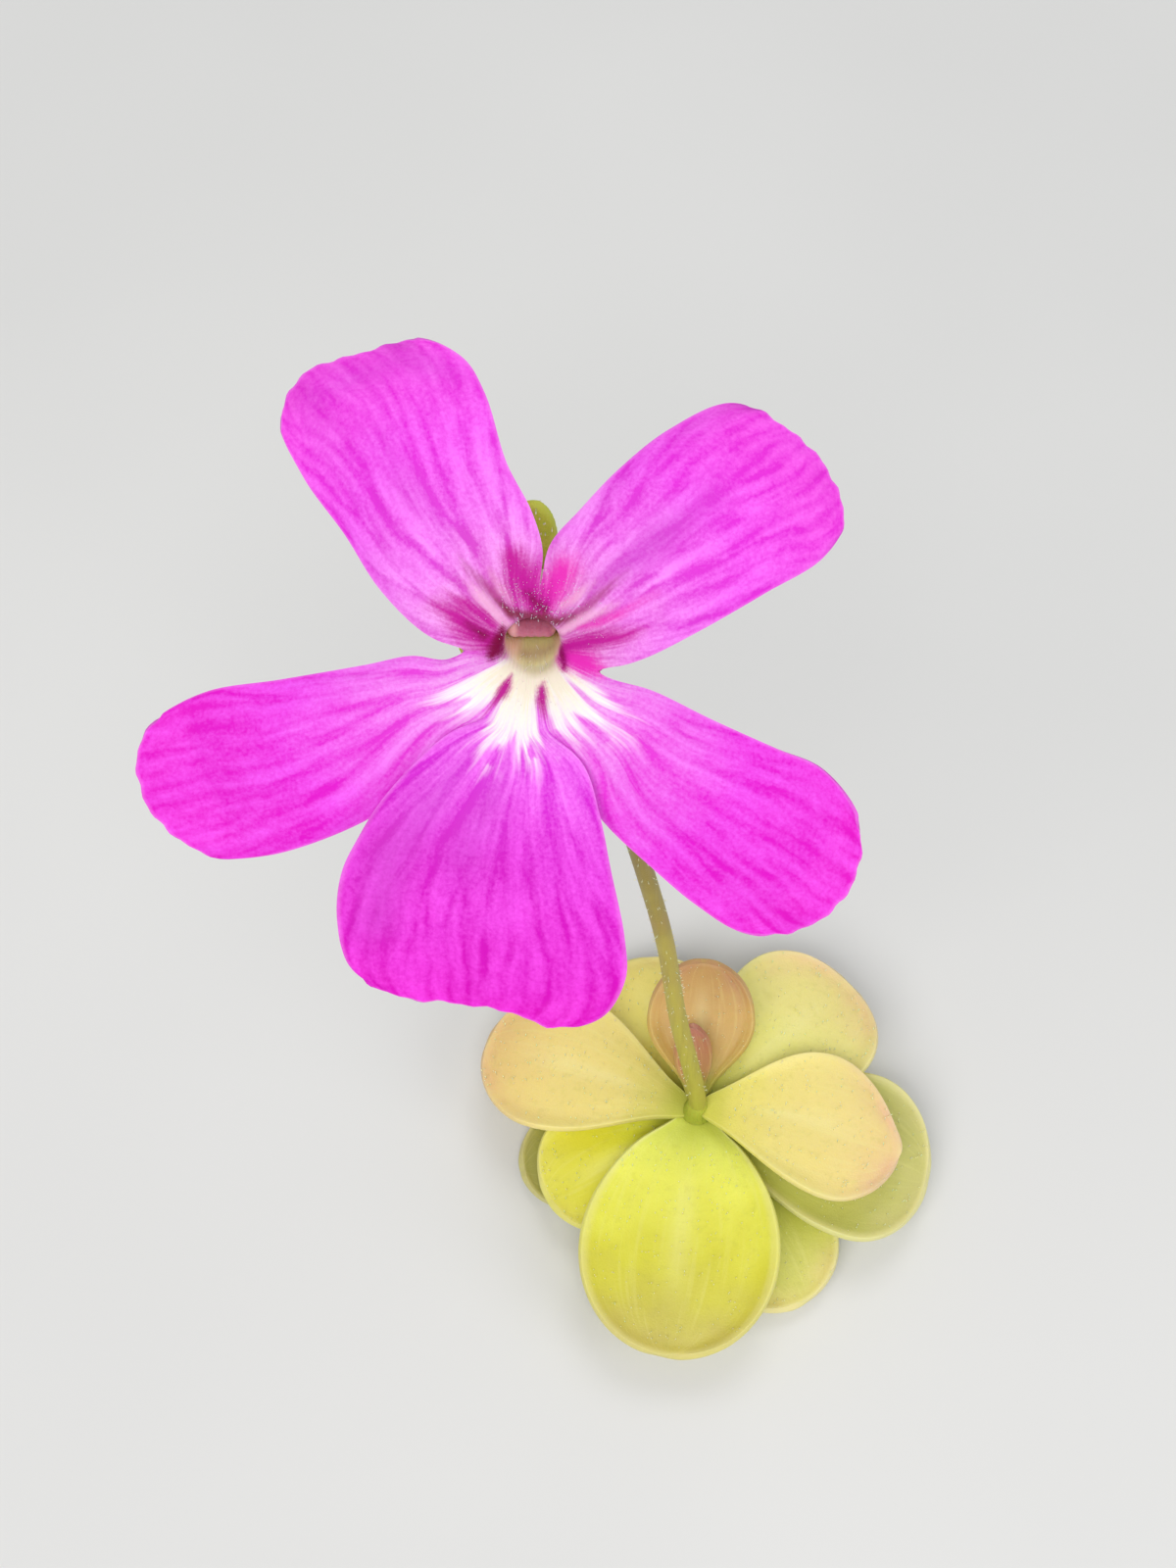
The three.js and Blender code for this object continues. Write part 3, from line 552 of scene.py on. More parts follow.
def ball(name, radius, place, squash=(1, 1, 1)):
    bpy.ops.mesh.primitive_uv_sphere_add(segments=BALL_SIDES, ring_count=BALL_RINGS, radius=radius * MM)
    piece = named(bpy.context.object, name)
    return placed(piece, Matrix.Translation(place) @ Matrix.Diagonal((*squash, 1)))


def grown(piece, voxel, sweeps):
    """Fuses shapes that run into each other into one skin, smoothed in this many sweeps."""
    applied(piece, "REMESH", mode="VOXEL", voxel_size=voxel * MM, adaptivity=0.0)
    applied(piece, "SMOOTH", factor=SMOOTHING, iterations=sweeps)
    return rounded(piece)

# ---------------------------------------------------------------- blades: leaves and sepals

FOOT_SHARE = 0.4                  # share of a blade's length over which it comes to its full thickness
GROOVE_SHARE = 0.3                # the midrib groove's width, as a share of the half width
TIP_START = 0.62                  # share of the half width where the round tip edge begins
TIP_MARGIN = 10                   # how late the tip's margin begins along the rows of a blade
FOOT_NARROWING = 0.5              # how narrow the hidden end of the foot is, as a share of the neck
THINNEST = 1e-4                   # keeps a share of the half width from dividing by nothing


def half_share(blade, t):
    """A blade's half width at t, as a share of its greatest."""
    if t <= 0:
        return blade["neck"] * lerp(1, FOOT_NARROWING, t / blade["start"]) if t < 0 else blade["neck"]
    if t <= blade["widest"]:
        return lerp(blade["neck"], 1, math.sin(math.pi / 2 * t / blade["widest"]) ** blade["waist"])
    past = (t - blade["widest"]) / (1 - blade["widest"])
    return max(1 - past * past, 0) ** blade["taper"]


def tip_edge(blade, share):
    """Where along the blade its half width has come down to this share."""
    return lerp(blade["widest"], 1, math.sqrt(max(1 - share ** (1 / blade["taper"]), 0)))


def blade_place(blade, across, along):
    """A grid place on the blade: (t, v, how near the margin), with rows that bow out to the round tip."""
    a = math.sin((across - 0.5) * math.pi)
    u = math.sin(along * math.pi / 2)
    start = blade["start"]
    t = start + u * (tip_edge(blade, TIP_START * abs(a)) - start)
    side = start + u * (tip_edge(blade, TIP_START) - start)
    x = a * half_share(blade, side)
    v = x / max(half_share(blade, t), THINNEST)
    return t, min(max(v, -1), 1), 1 - (1 - a * a) * (1 - u ** TIP_MARGIN)


def blade_point(blade, t, v):
    """A blade's middle surface at t along and v across: (point, angle of the midrib there)."""
    start, bend = math.radians(blade["slope"]), math.radians(blade["droop"])
    angle = start - bend * t
    along = blade["length"] * (math.sin(start) - math.sin(angle)) / bend
    rise = blade["length"] * (math.cos(angle) - math.cos(start)) / bend
    half = blade["width"] / 2 * half_share(blade, t)
    groove = blade["crease"] * math.exp(-(v / GROOVE_SHARE) ** 2) * math.sin(math.pi * min(max(t, 0), 1))
    lift = blade["cup"] * half * v ** 4 - groove
    point = Vector((along - lift * math.sin(angle), v * half + blade["skew"] * t * t,
                    rise + lift * math.cos(angle)))
    return point, angle


def blade_thickness(blade, t, edge, fullness):
    thickness = lerp(blade["margin"], blade["middle"], (1 - edge) * smooth(t / FOOT_SHARE))
    return thickness * lerp(fullness[0], fullness[1], (1 - edge) * smooth(t / FOOT_SHARE))


def blade_sheet(name, blade, columns, rows, matrix, fullness, ripple=None):
    """A blade's sheet, given its thickness and rounded margin; fullness scales the CAD's thickness."""
    def spot(across, along):
        t, v, edge = blade_place(blade, across, along)
        point, angle = blade_point(blade, t, v)
        if ripple is not None:
            wave = ripple(t, v, edge)
            point += Vector((-wave * math.sin(angle), 0, wave * math.cos(angle)))
        return matrix @ point

    def laid(across, along):
        t, v, _ = blade_place(blade, across, along)
        return t, 0.5 + 0.5 * v

    def rim(across, along):
        return blade_place(blade, across, along)[2], 0

    piece = sheet(name, columns, rows, spot, {"blade": laid, "rim": rim})
    body = piece.vertex_groups.new(name="body")
    for corner in range(len(piece.data.vertices)):
        across = (corner % (columns + 1)) / columns
        along = (corner // (columns + 1)) / rows
        t, _, edge = blade_place(blade, across, along)
        body.add([corner], blade_thickness(blade, t, edge, fullness) / blade["middle"], "REPLACE")
    applied(piece, "SOLIDIFY", thickness=blade["middle"] * MM, offset=0, vertex_group="body",
            thickness_vertex_group=0.0, use_even_offset=True)
    applied(piece, "SUBSURF", levels=1, render_levels=1)
    edit(piece, outwards)
    return rounded(piece)


# ---------------------------------------------------------------- leaves

LEAF_COLUMNS = 22
LEAF_ROWS = 34
LEAF_FULLNESS = (0.58, 0.92)      # share of the CAD's thickness at the margin and in the middle
FOOT_REACH = 0.3                  # how near the crown's axis a leaf's foot comes

# A blade's unevenness: its margin's roll and waves, and the swells across it.
RIPPLE_START = 0.3                # share of the blade's length over which the unevenness sets in
RIPPLE_WIDTH = 9                  # a narrower blade has less of it
ROLL = 0.16
ROLL_START = 0.6
WAVE = 0.12
WAVES = 11
SWELL = 0.12
SWELLS = (5, 2.4)                 # along the blade and across it

# Each leaf's colours from foot to tip, the flush of its tip, how strong that is, and how pale the rim is.
LEAF_TINTS = [
    ("8f9a3c 98a540 95a040 929c44", "c8b070", 0.1, 0.4),
    ("a5ac44 b2b84c b4b852 b8b85c", "d8b884", 0.2, 0.3),
    ("93a03e a0aa46 a0aa48 a4a850", "c8b070", 0.1, 0.4),
    ("a0a842 aeb44a aeb450 b0b258", "d0b47c", 0.15, 0.4),
    ("9aa03c a4a844 a2a444 a6a450", "d0b47c", 0.15, 0.5),
    ("b4ba48 cdd054 cfd15a d2cf6c", "e6c894", 0.5, 0.6),
    ("d2d23c e8e840 e6e23e e0da50", "e0c88a", 0.15, 0.35),
    ("b0b64e c2c65e c4c664 c8c676", "dccb94", 0.25, 0.65),
    # Leaf 9's brightest colour, a quarter of the way along, is a painted highlight.
    ("e2e862 f0f05e d8d43c c0b44a", "dccb80", 0.2, 0.45),
    ("ccce58 e8e67c ebe488 ead88c", "e6be96", 0.75, 0.3),
    ("d6d456 f0e876 f2e676 ecda7c", "e2c890", 0.3, 0.3),
    ("c8c454 e6d57a efd984 eccb84", "e2b584", 0.85, 0.2),
    ("e8de66 f0e080 f0dc88 efd690", "eab898", 0.9, 0.25),
    ("bcac4c ceaa5c d0a85c c2965a", "bc8860", 0.85, 0.1),
    ("b39a50 c08e5e bd825a b8745a", "b0685c", 0.9, 0.1),
]
LEAF_STOPS = (0.02, 0.26, 0.58, 0.95)   # where the four colours lie along a blade
LEAF_SLOTS = {10: "leaf_blush", 12: "leaf_blush", 13: "leaf_blush", 14: "leaf_young", 15: "leaf_young"}


def crown_radius(height):
    (r0, z0), (r1, z1) = next(
        pair for pair in zip(CROWN_PROFILE[1:], CROWN_PROFILE[2:]) if pair[1][1] >= height)
    return lerp(r0, r1, (height - z0) / (z1 - z0))


def leaf_blade(measures, differences):
    blade = {**LEAF_SHAPE, **dict(zip(LEAF_MEASURES, measures)), **differences}
    slope, bend = math.radians(blade["slope"]), math.radians(blade["droop"])
    seat = crown_radius(blade["base"]) + SEAT_GAP + blade["middle"] * math.sin(slope) / 2
    blade["length"] = (blade["reach"] - seat) * bend / (math.sin(slope) - math.sin(slope - bend))
    blade["start"] = -(seat - FOOT_REACH) / blade["length"]
    turn = Matrix.Rotation(math.radians(blade["azimuth"]), 4, "Z")
    blade["place"] = turn @ Matrix.Translation((seat, 0, blade["base"]))
    return blade


def leaf_finish(number):
    tints, flush_tint, flush_share, rim_share = LEAF_TINTS[number - 1]
    skin = Skin(f"leaf_skin_{number:02d}", glow=0.35, glow_depth=1.1, glow_spread=GREEN_GLOW,
                specular_ior_level=0.4, coat_weight=0.1, coat_roughness=0.3)
    t, across = skin.laid("blade")
    edge, _ = skin.laid("rim")
    v = abs(across * 2 - 1)
    place = skin.place()
    cloud = skin.noise(place, 0.35, 3)
    mottle = skin.noise(place, 1.6, 4, 0.6)
    grain = skin.noise(place, 9.0)
    body = skin.ramp(t + (cloud - 0.5) * 0.35, list(zip(LEAF_STOPS, tints.split())))
    # The flush sits at the tip and creeps down both margins.
    flush = skin.step(t + v * v * 0.22 + (cloud - 0.5) * 0.45, 0.78, 1.24)
    body = skin.over(body, flush * flush_share, flush_tint)
    # Pale midrib streak and faint side veins.
    rib = skin.bell(v, 0.10 + t * 0.08) * skin.step(t, 0.1, 0.35) * (1 - skin.step(t, 0.55, 0.9))
    body = skin.over(body, rib * 0.22, "f8f4b4")
    veins = skin.noise_at(t * 2.2, across * 26, number)
    body = skin.over(body, skin.step(veins, 0.5, 0.72) * 0.14, "f4f0a0")
    body = skin.over(body, skin.step(mottle, 0.52, 0.75) * 0.16, "b0b040")
    # Deeper green where the blade runs into the heart of the rosette.
    body = skin.over(body, (1 - skin.step(t, -0.02, 0.12)) * 0.4, "b0b83c")
    # Thin, paler rim along the margin.
    body = skin.over(body, skin.step(edge, 0.80, 0.97) * rim_share * 0.7, "f2e9b0")
    return skin.finished(body, 0.42 + mottle * 0.14, mottle * 0.5 + grain * 0.35 + cloud * 0.6, 0.05)


def leaf(number, measures, differences):
    """Makes one leaf; returns its blade and its unevenness, for the glands that stand on it."""
    blade = leaf_blade(measures, differences)
    phase = number * 1.7

    def ripple(t, v, edge):
        roll = ROLL * smooth((edge - ROLL_START) / (1 - ROLL_START))
        wave = WAVE * edge * edge * math.sin(t * WAVES + phase)
        swell = SWELL * math.sin(t * SWELLS[0] + phase) * math.sin(v * SWELLS[1] + phase * 0.6)
        return min(blade["width"] / RIPPLE_WIDTH, 1) * (roll + wave + swell) * smooth(t / RIPPLE_START)

    piece = blade_sheet(f"leaf_blade_{number:02d}", blade, LEAF_COLUMNS, LEAF_ROWS, blade["place"],
                        LEAF_FULLNESS, ripple)
    dressed(piece, leaf_finish(number), LEAF_SLOTS.get(number, "leaf_green"), f"leaf_{number:02d}")
    return blade, ripple


# ---------------------------------------------------------------- hairs and glands

HAIR_SIDES = 5
STALK_SHARE = 0.9                 # how tall a gland's stalk is, as a share of its height


def gland_shape():
    """A stalk with a round head one unit wide, whose middle is STALK_SHARE up."""
    bpy.ops.mesh.primitive_cone_add(vertices=HAIR_SIDES, radius1=0.22, radius2=0.14, depth=STALK_SHARE,
                                    location=(0, 0, STALK_SHARE / 2))
    stalk = bpy.context.object
    bpy.ops.mesh.primitive_ico_sphere_add(subdivisions=1, radius=0.5, location=(0, 0, STALK_SHARE))
    head = bpy.context.object
    pick(head, stalk)
    bpy.ops.object.join()
    return taken_apart(bpy.context.object)


def hair_shape():
    """A plain tapering hair, one unit tall and one unit wide at its foot."""
    bpy.ops.mesh.primitive_cone_add(vertices=HAIR_SIDES, radius1=0.5, radius2=0.12, depth=1.0,
                                    location=(0, 0, 0.5))
    return taken_apart(bpy.context.object)


def taken_apart(piece):
    """A model's points and faces, to copy from; the model itself goes."""
    pick(piece)
    bpy.ops.object.transform_apply()
    points = np.array([corner.co[:] for corner in piece.data.vertices])
    faces = [tuple(face.vertices) for face in piece.data.polygons]
    bpy.data.objects.remove(piece)
    return points, faces


def planted(name, shape, seats):
    """Copies of one small shape in one mesh; a seat is (foot, direction, height, width) in millimetres."""
    points, faces = shape
    corners, sides = [], []
    for foot, direction, height, width in seats:
        turn = np.array(Vector(direction).normalized().to_track_quat("Z", "Y").to_matrix())
        sides.extend(tuple(len(corners) + k for k in face) for face in faces)
        grown_points = (points * (width, width, height)) @ turn.T + np.array(foot)
        corners.extend((grown_points * MM).tolist())
    mesh = bpy.data.meshes.new(name)
    mesh.from_pydata(corners, [], sides)
    mesh.update()
    piece = bpy.data.objects.new(name, mesh)
    bpy.context.collection.objects.link(piece)
    return rounded(piece)


def dew_finish(name, colour):
    skin = Skin(name, glow=0.6, glow_depth=0.4, roughness=0.25, coat_weight=0.3, specular_ior_level=0.5)
    shift = skin.noise(skin.place(), 3.0, 1)
    return skin.finished(skin.over(shade(colour), shift * 0.5, "fffbe0"))


LEAF_GLANDS = dict(per_mm2=1.8, along=(0.08, 0.96), across=(-0.93, 0.93), height=(0.16, 0.34), width=0.062,
                   sway=(-0.25, 0.25), sunk=0.06)
BLADE_FILL = 0.8                  # a blade's area, as a share of its length times its width
GLAND_LEAVES = range(6, 16)       # the leaves below these are hidden


def leaf_glands(leaves, shape, rng):
    """Dewy stalked glands, scattered over the leaves' upper faces."""
    for number in GLAND_LEAVES:
        blade, ripple = leaves[number]
        area = blade["length"] * blade["width"] * BLADE_FILL
        seats = []
        for _ in range(int(area * LEAF_GLANDS["per_mm2"])):
            t, v = rng.uniform(*LEAF_GLANDS["along"]), rng.uniform(*LEAF_GLANDS["across"])
            height = rng.uniform(*LEAF_GLANDS["height"])
            sway = Vector((rng.uniform(*LEAF_GLANDS["sway"]), rng.uniform(*LEAF_GLANDS["sway"]), 0))
            point, angle = blade_point(blade, t, v)
            up = Vector((-math.sin(angle), 0, math.cos(angle)))
            inset = blade_thickness(blade, t, v * v, LEAF_FULLNESS) / 2 - LEAF_GLANDS["sunk"]
            foot = blade["place"] @ (point + up * (inset + ripple(t, v, v * v)))
            seats.append((foot, blade["place"].to_3x3() @ (up + sway), height, LEAF_GLANDS["width"]))
        slot = "leaf_young" if LEAF_SLOTS.get(number) == "leaf_young" else "leaf_green"
        dressed(planted(f"leaf_dew_{number:02d}", shape, seats), materials["dew"], slot)


# ---------------------------------------------------------------- crown and scape

CROWN_SLIMMING = 0.03             # the fine crown is this much slimmer for each millimetre of height
CROWN_SIDES = 28
CROWN_FUSING = (0.11, 3)          # the grain of the fused shape, and how many sweeps smooth it
CROWN_FADE = 6.2                  # the height where the crown's colours end
LOWEST_ROOT = 0.3                 # how low a root's middle comes
ROOT_TAPER = 0.3
ROOT_TIP = 0.5                    # how thin the very tip is, as a share of the root there
ROOT_STEPS = 24


def crown_finish():
    skin = Skin("crown_skin", glow=0.15, glow_depth=0.6, specular_ior_level=0.3)
    place = skin.place()
    x, y, z = skin.split(place)
    mottle = skin.noise(place, 2.2, 4, 0.65)
    fibre = skin.noise_at(x * 4, y * 4, z * 0.8, 3)
    body = skin.ramp(z / CROWN_FADE + (mottle - 0.5) * 0.2, [
        (0.0, "c9b07a"), (0.16, "8f7440"), (0.5, "93913c"), (0.75, "a8b03a"), (0.95, "bcc24c")])
    body = skin.over(body, skin.step(fibre, 0.5, 0.75) * (1 - skin.step(z, 2.5, 5)) * 0.4, "6b5228")
    return skin.finished(body, 0.62 + fibre * 0.2, fibre + mottle * 0.6, 0.12)


def root(number):
    azimuth = 360 / ROOT_COUNT * number
    sweep = ROOT_SWEEP * (1 if number % 2 == 0 else -1)
    spots = []
    for reach, share, height in ROOT_POINTS:
        turn = math.radians(azimuth + sweep * share)
        spots.append((reach * math.cos(turn), reach * math.sin(turn), max(height, LOWEST_ROOT)))

    def radius_at(s):
        return ROOT_RADIUS * (1 - ROOT_TAPER * s) * (1 if s < 1 else ROOT_TIP)

    return swept("root", Line(spots), radius_at, ROOT_STEPS)


def crown():
    profile = [(radius - CROWN_SLIMMING * height, height) for radius, height in CROWN_PROFILE]
    parts = [turned("stem", profile, CROWN_SIDES), *(root(number) for number in range(ROOT_COUNT))]
    piece = grown(joined("rooted_stem", parts), *CROWN_FUSING)
    dressed(piece, materials["crown"], "crown_brown", "crown")


STALK_FADE = 74                   # the height where the stalk's colours end


def stalk_finish():
    skin = Skin("stalk_skin", glow=0.3, glow_depth=0.8, glow_spread=GREEN_GLOW, specular_ior_level=0.45)
    place = skin.place()
    x, y, z = skin.split(place)
    streak = skin.noise_at(x * 3.2, y * 3.2, z * 0.12, 3)
    cloud = skin.noise(place, 0.22)
    grain = skin.noise(place, 8.0)
    body = skin.ramp(z / STALK_FADE + (cloud - 0.5) * 0.3, [
        (0.05, "b6b44a"), (0.35, "b8a84c"), (0.6, "8e7836"), (1.0, "7e6834")])
    body = skin.over(body, skin.step(streak, 0.48, 0.7) * 0.25, "8c7f38")
    body = skin.over(body, skin.step(cloud, 0.55, 0.8) * 0.2, "c79a6a")
    return skin.finished(body, 0.42 + streak * 0.15, streak + grain * 0.4, 0.05)


def tube_back():
    return Vector((0, math.sin(TUBE_TILT), -math.cos(TUBE_TILT)))


def rim_middle():
    return Vector((RIM["x"], RIM["y"], (RIM["roof"] + RIM["floor"]) / 2))


TUBE_END = rim_middle() + tube_back() * TUBE_LENGTH
AT_TUBE_END = FLOWER @ Matrix.Translation(TUBE_END) @ Matrix.Rotation(math.pi + TUBE_TILT, 4, "X")


STALK_SINK = 0.15                 # how far the stalk's foot is sunk into the crown
STALK_SEAT = 0.3                  # how near its end comes to the receptacle, as a share of SEAT_GAP
STALK_NECK = 0.05                 # how much thicker it gets where it meets the flower,
STALK_NECK_SPAN = 0.03            # and over what share of its length
STALK_STEPS = 160
STALK_CREASE = 60                 # an edge sharper than this many degrees stays sharp
STALK_GLANDS = dict(count=400, along=(0.03, 0.985), height=(0.09, 0.17), width=0.038, sway=(-0.2, 0.2),
                    sunk=0.05)
LOOK_AHEAD = 0.004                # the share of the stalk's length that its direction is read over


def scape(shape, rng):
    end = TUBE_END + tube_back() * (RECEPTACLE_PROFILE[-1][1] + SEAT_GAP * STALK_SEAT)
    hook = end + tube_back() * SCAPE_HOOK
    line = Line([(0, 0, CROWN_HEIGHT - STALK_SINK), *SCAPE_POINTS, FLOWER @ hook, FLOWER @ end])

    def radius_at(s):
        neck = STALK_NECK * math.exp(-((1 - s) / STALK_NECK_SPAN) ** 2)
        return lerp(SCAPE_FOOT_RADIUS, SCAPE_TOP_RADIUS, s) + neck

    stalk = rounded(swept("flower_stalk", line, radius_at, STALK_STEPS, 3), STALK_CREASE)
    dressed(stalk, materials["stalk"], "stalk_green", "scape")
    seats = []
    for _ in range(STALK_GLANDS["count"]):
        s = rng.uniform(*STALK_GLANDS["along"])
        ahead = Vector(line.at(min(s + LOOK_AHEAD, 1)) - line.at(s)).normalized()
        side = ahead.orthogonal().normalized()
        out = Matrix.Rotation(rng.uniform(0, TURN), 3, ahead) @ side
        foot = Vector(line.at(s)) + out * (radius_at(s) - STALK_GLANDS["sunk"])
        direction = out + ahead * rng.uniform(*STALK_GLANDS["sway"])
        seats.append((foot, direction, rng.uniform(*STALK_GLANDS["height"]), STALK_GLANDS["width"]))
    dressed(planted("stalk_glands", shape, seats), materials["dew"], "stalk_green")


# ---------------------------------------------------------------- corolla

PETAL_COLUMNS = 34
TUBE_ROWS = 24
BASE_ROWS = 14
LOBE_ROWS = 72
PETAL_ROWS = TUBE_ROWS + BASE_ROWS + LOBE_ROWS
OUTLINE_STEPS = 40
PETAL_THICKNESS = 0.26
MARGIN_SHARE = 0.5                # how thick a petal's margin is, as a share of its middle
MARGIN_SPAN = (0.12, 0.08)        # how wide the thin margin is, at a lobe's sides and at its tip
MARGIN_START = 0.02               # where along a lobe its thin margin begins
PETAL_CREASE = 50                 # an edge sharper than this many degrees stays sharp
SEAM_WELD = 0.004                 # the lobes' seams are merged over this distance
RIM_CURVE = 1.7                   # how fast the limb dips to the throat

# The throat's floor rises inside the tube and falls again, in shares of the tube's height and length.
FLOOR_RISE = 0.72
FLOOR_RISE_SPAN = 0.34
FLOOR_FALL_START = 0.4
FLOOR_FALL_SPAN = 0.35
TUBE_STRETCH = 3                  # how much the tube's length weighs in the line through its rings

# Each lobe's folds, the flutter of its outer part and the small uneven scallops of its tip.
LOBE_FOLD = [0.10, 0.12, 0.09, 0.12, 0.09]
FOLD_SPAN = 0.5
FOLD_WAVES = (9, 1.5)             # across the lobe and along it
FLUTTER = 0.10
FLUTTER_START = 0.55
FLUTTER_WAVES = 17
SCALLOP = 0.028
SCALLOP_START = 0.8
SCALLOP_WAVES = (31, 53)
VEINS = [3.3, 3.3, 3.1, 3.8, 3.1]  # how close the main veins of each lobe stand
VEIN_SPREAD = (0.55, 0.65)        # how the veins fan out: at the lobe's base, and more towards its tip
LANE_STEP = 10                    # sets the lobes' lanes of veins apart, so that each has its own pattern

# The map along a lobe is 0 at its foot and 1 at its tip; its base lies below 0, and the tube below that.
BASE_SPAN = 0.15
TUBE_GLOW_START = -0.22           # where along the throat the thin, glowing wall of the tube begins


def around(x, y):
    """The angle round the throat's middle and the distance from it."""
    return math.atan2(y - RIM["y"], x - RIM["x"]), math.hypot(x - RIM["x"], y - RIM["y"])


def lobe_foot(lobe, v):
    """Where a lobe meets its base, at v across it: (angle round the throat, x, y)."""
    first, last = around(*lobe["outline"][0]), around(*lobe["outline"][-1])
    far = last[0] + (TURN if last[0] < first[0] else 0)
    reach = lerp(first[1], last[1], v) + BASE_BULGE * math.sin(math.pi * v)
    angle = lerp(first[0], far, v)
    return angle, RIM["x"] + reach * math.cos(angle), RIM["y"] + reach * math.sin(angle)


def tube_line(rings):
    """A smooth line through the tube's rings, whose length is stretched by TUBE_STRETCH."""
    return Line([(place * TUBE_STRETCH, width, height) for place, width, height in rings])


def tube_point(place, width, height, angle):
    """A point on the tube's wall: place is the share of its length from the rim."""
    if math.sin(angle) < 0:
        falling = smooth((place - FLOOR_FALL_START) / FLOOR_FALL_SPAN)
        height *= 1 - FLOOR_RISE * smooth(place / FLOOR_RISE_SPAN) * (1 - falling)
    tilt = TUBE_TILT * smooth(place / TUBE_STRAIGHT)
    depth = lerp(RIM["floor"], RIM["roof"], (1 + math.sin(angle)) / 2) - rim_middle().z
    return rim_middle() + tube_back() * (TUBE_LENGTH * place) + Vector((
        width * math.cos(angle),
        height * math.sin(angle) * math.cos(tilt),
        height * math.sin(angle) * math.sin(tilt) + depth * (1 - smooth(place / TUBE_STRAIGHT))))


def limb_height(lobe, x, y, side, rim):
    """How far the limb's face stands out at a place; side is the share across the lobe."""
    reach = around(x, y)[1]
    rim_reach = around(rim.x, rim.y)[1]
    parting = 1 - math.exp(-max(0, reach - LEAN_START) / LEAN_SPAN)
    out = min(max((reach - CURL_START) / CURL_SPAN, 0), 1)
    dip = min(max(1 - (reach - rim_reach) / (RIM["flare"] - rim_reach), 0), 1)
    return (rim.z * dip ** RIM_CURVE
            + parting * lerp(lobe["lean"][0], lobe["lean"][1], side)
            + lobe["arch"] * math.sin(math.pi * side) * 4 * out * (1 - out)
            - lobe["curl"] * out ** 3)


def lobe_rules(number):
    """Two rules for one lobe and its share of the tube: the point and the two UV maps at (across, along)."""
    lobe = LOBES[number]
    outline = Line([(x, y, 0) for x, y in lobe["outline"]], OUTLINE_STEPS)
    tube = tube_line(TUBE_RINGS)
    corner = [outline.at(share) for share in (0, TIP_SPAN[0], TIP_SPAN[1], 1)]
    phase = number * 2.1

    def patch(u, v):
        """A place in the flower's face, u of the way from the lobe's foot to its tip and v across it."""
        _, foot_x, foot_y = lobe_foot(lobe, v)
        first, last = outline.at(lerp(0, TIP_SPAN[0], u)), outline.at(lerp(1, TIP_SPAN[1], u))
        tip = outline.at(lerp(TIP_SPAN[0], TIP_SPAN[1], v))
        spot = [lerp(first[k], last[k], v) + lerp((foot_x, foot_y)[k], tip[k], u)
                - lerp(lerp(corner[0][k], corner[3][k], v), lerp(corner[1][k], corner[2][k], v), u)
                for k in (0, 1)]
        waves = math.sin(v * SCALLOP_WAVES[0] + phase) + math.sin(v * SCALLOP_WAVES[1] + phase * 2)
        scallop = smooth((u - SCALLOP_START) / (1 - SCALLOP_START)) * SCALLOP * waves
        away = math.hypot(*spot)
        return [value * (1 + scallop / away) for value in spot]

    def section(along):
        """Which part of the lobe a row is in, and how far along that part."""
        row = round(along * PETAL_ROWS)
        if row <= TUBE_ROWS:
            return "tube", 1 - row / TUBE_ROWS
        if row <= TUBE_ROWS + BASE_ROWS:
            return "base", (row - TUBE_ROWS) / BASE_ROWS
        return "lobe", (row - TUBE_ROWS - BASE_ROWS) / LOBE_ROWS

    def point(across, along):
        part, t = section(along)
        angle, foot_x, foot_y = lobe_foot(lobe, across)
        rim = tube_point(0, TUBE_RINGS[-1][1], TUBE_RINGS[-1][2], angle)
        if part == "tube":
            place, width, height = tube.at(1 - t)
            return tube_point(place / TUBE_STRETCH, width, height, angle)
        if part == "base":
            x, y = lerp(rim.x, foot_x, t), lerp(rim.y, foot_y, t)
            return Vector((x, y, limb_height(lobe, x, y, across, rim)))
        x, y = patch(t, across)
        fold = math.sin(across * FOLD_WAVES[0] + phase + t * FOLD_WAVES[1])
        fold *= LOBE_FOLD[number] * smooth(t / FOLD_SPAN)
        flutter = FLUTTER * smooth((t - FLUTTER_START) / (1 - FLUTTER_START))
        flutter *= math.sin(across * FLUTTER_WAVES + phase * 1.7)
        return Vector((x, y, limb_height(lobe, x, y, across, rim) + fold + flutter))

    def lobe_map(across, along):
        part, t = section(along)
        return across, {"tube": -BASE_SPAN - t, "base": -BASE_SPAN * (1 - t), "lobe": t}[part]

    def vein_map(across, along):
        part, t = section(along)
        t = t if part == "lobe" else 0
        first, last = patch(t, 0), patch(t, 1)
        lanes = VEINS[number] / (VEIN_SPREAD[0] + VEIN_SPREAD[1] * t)
        wide = math.hypot(last[0] - first[0], last[1] - first[1])
        return (across - 0.5) * lanes + LANE_STEP * number, wide / lanes

    return point, {"lobe": lobe_map, "vein": vein_map}
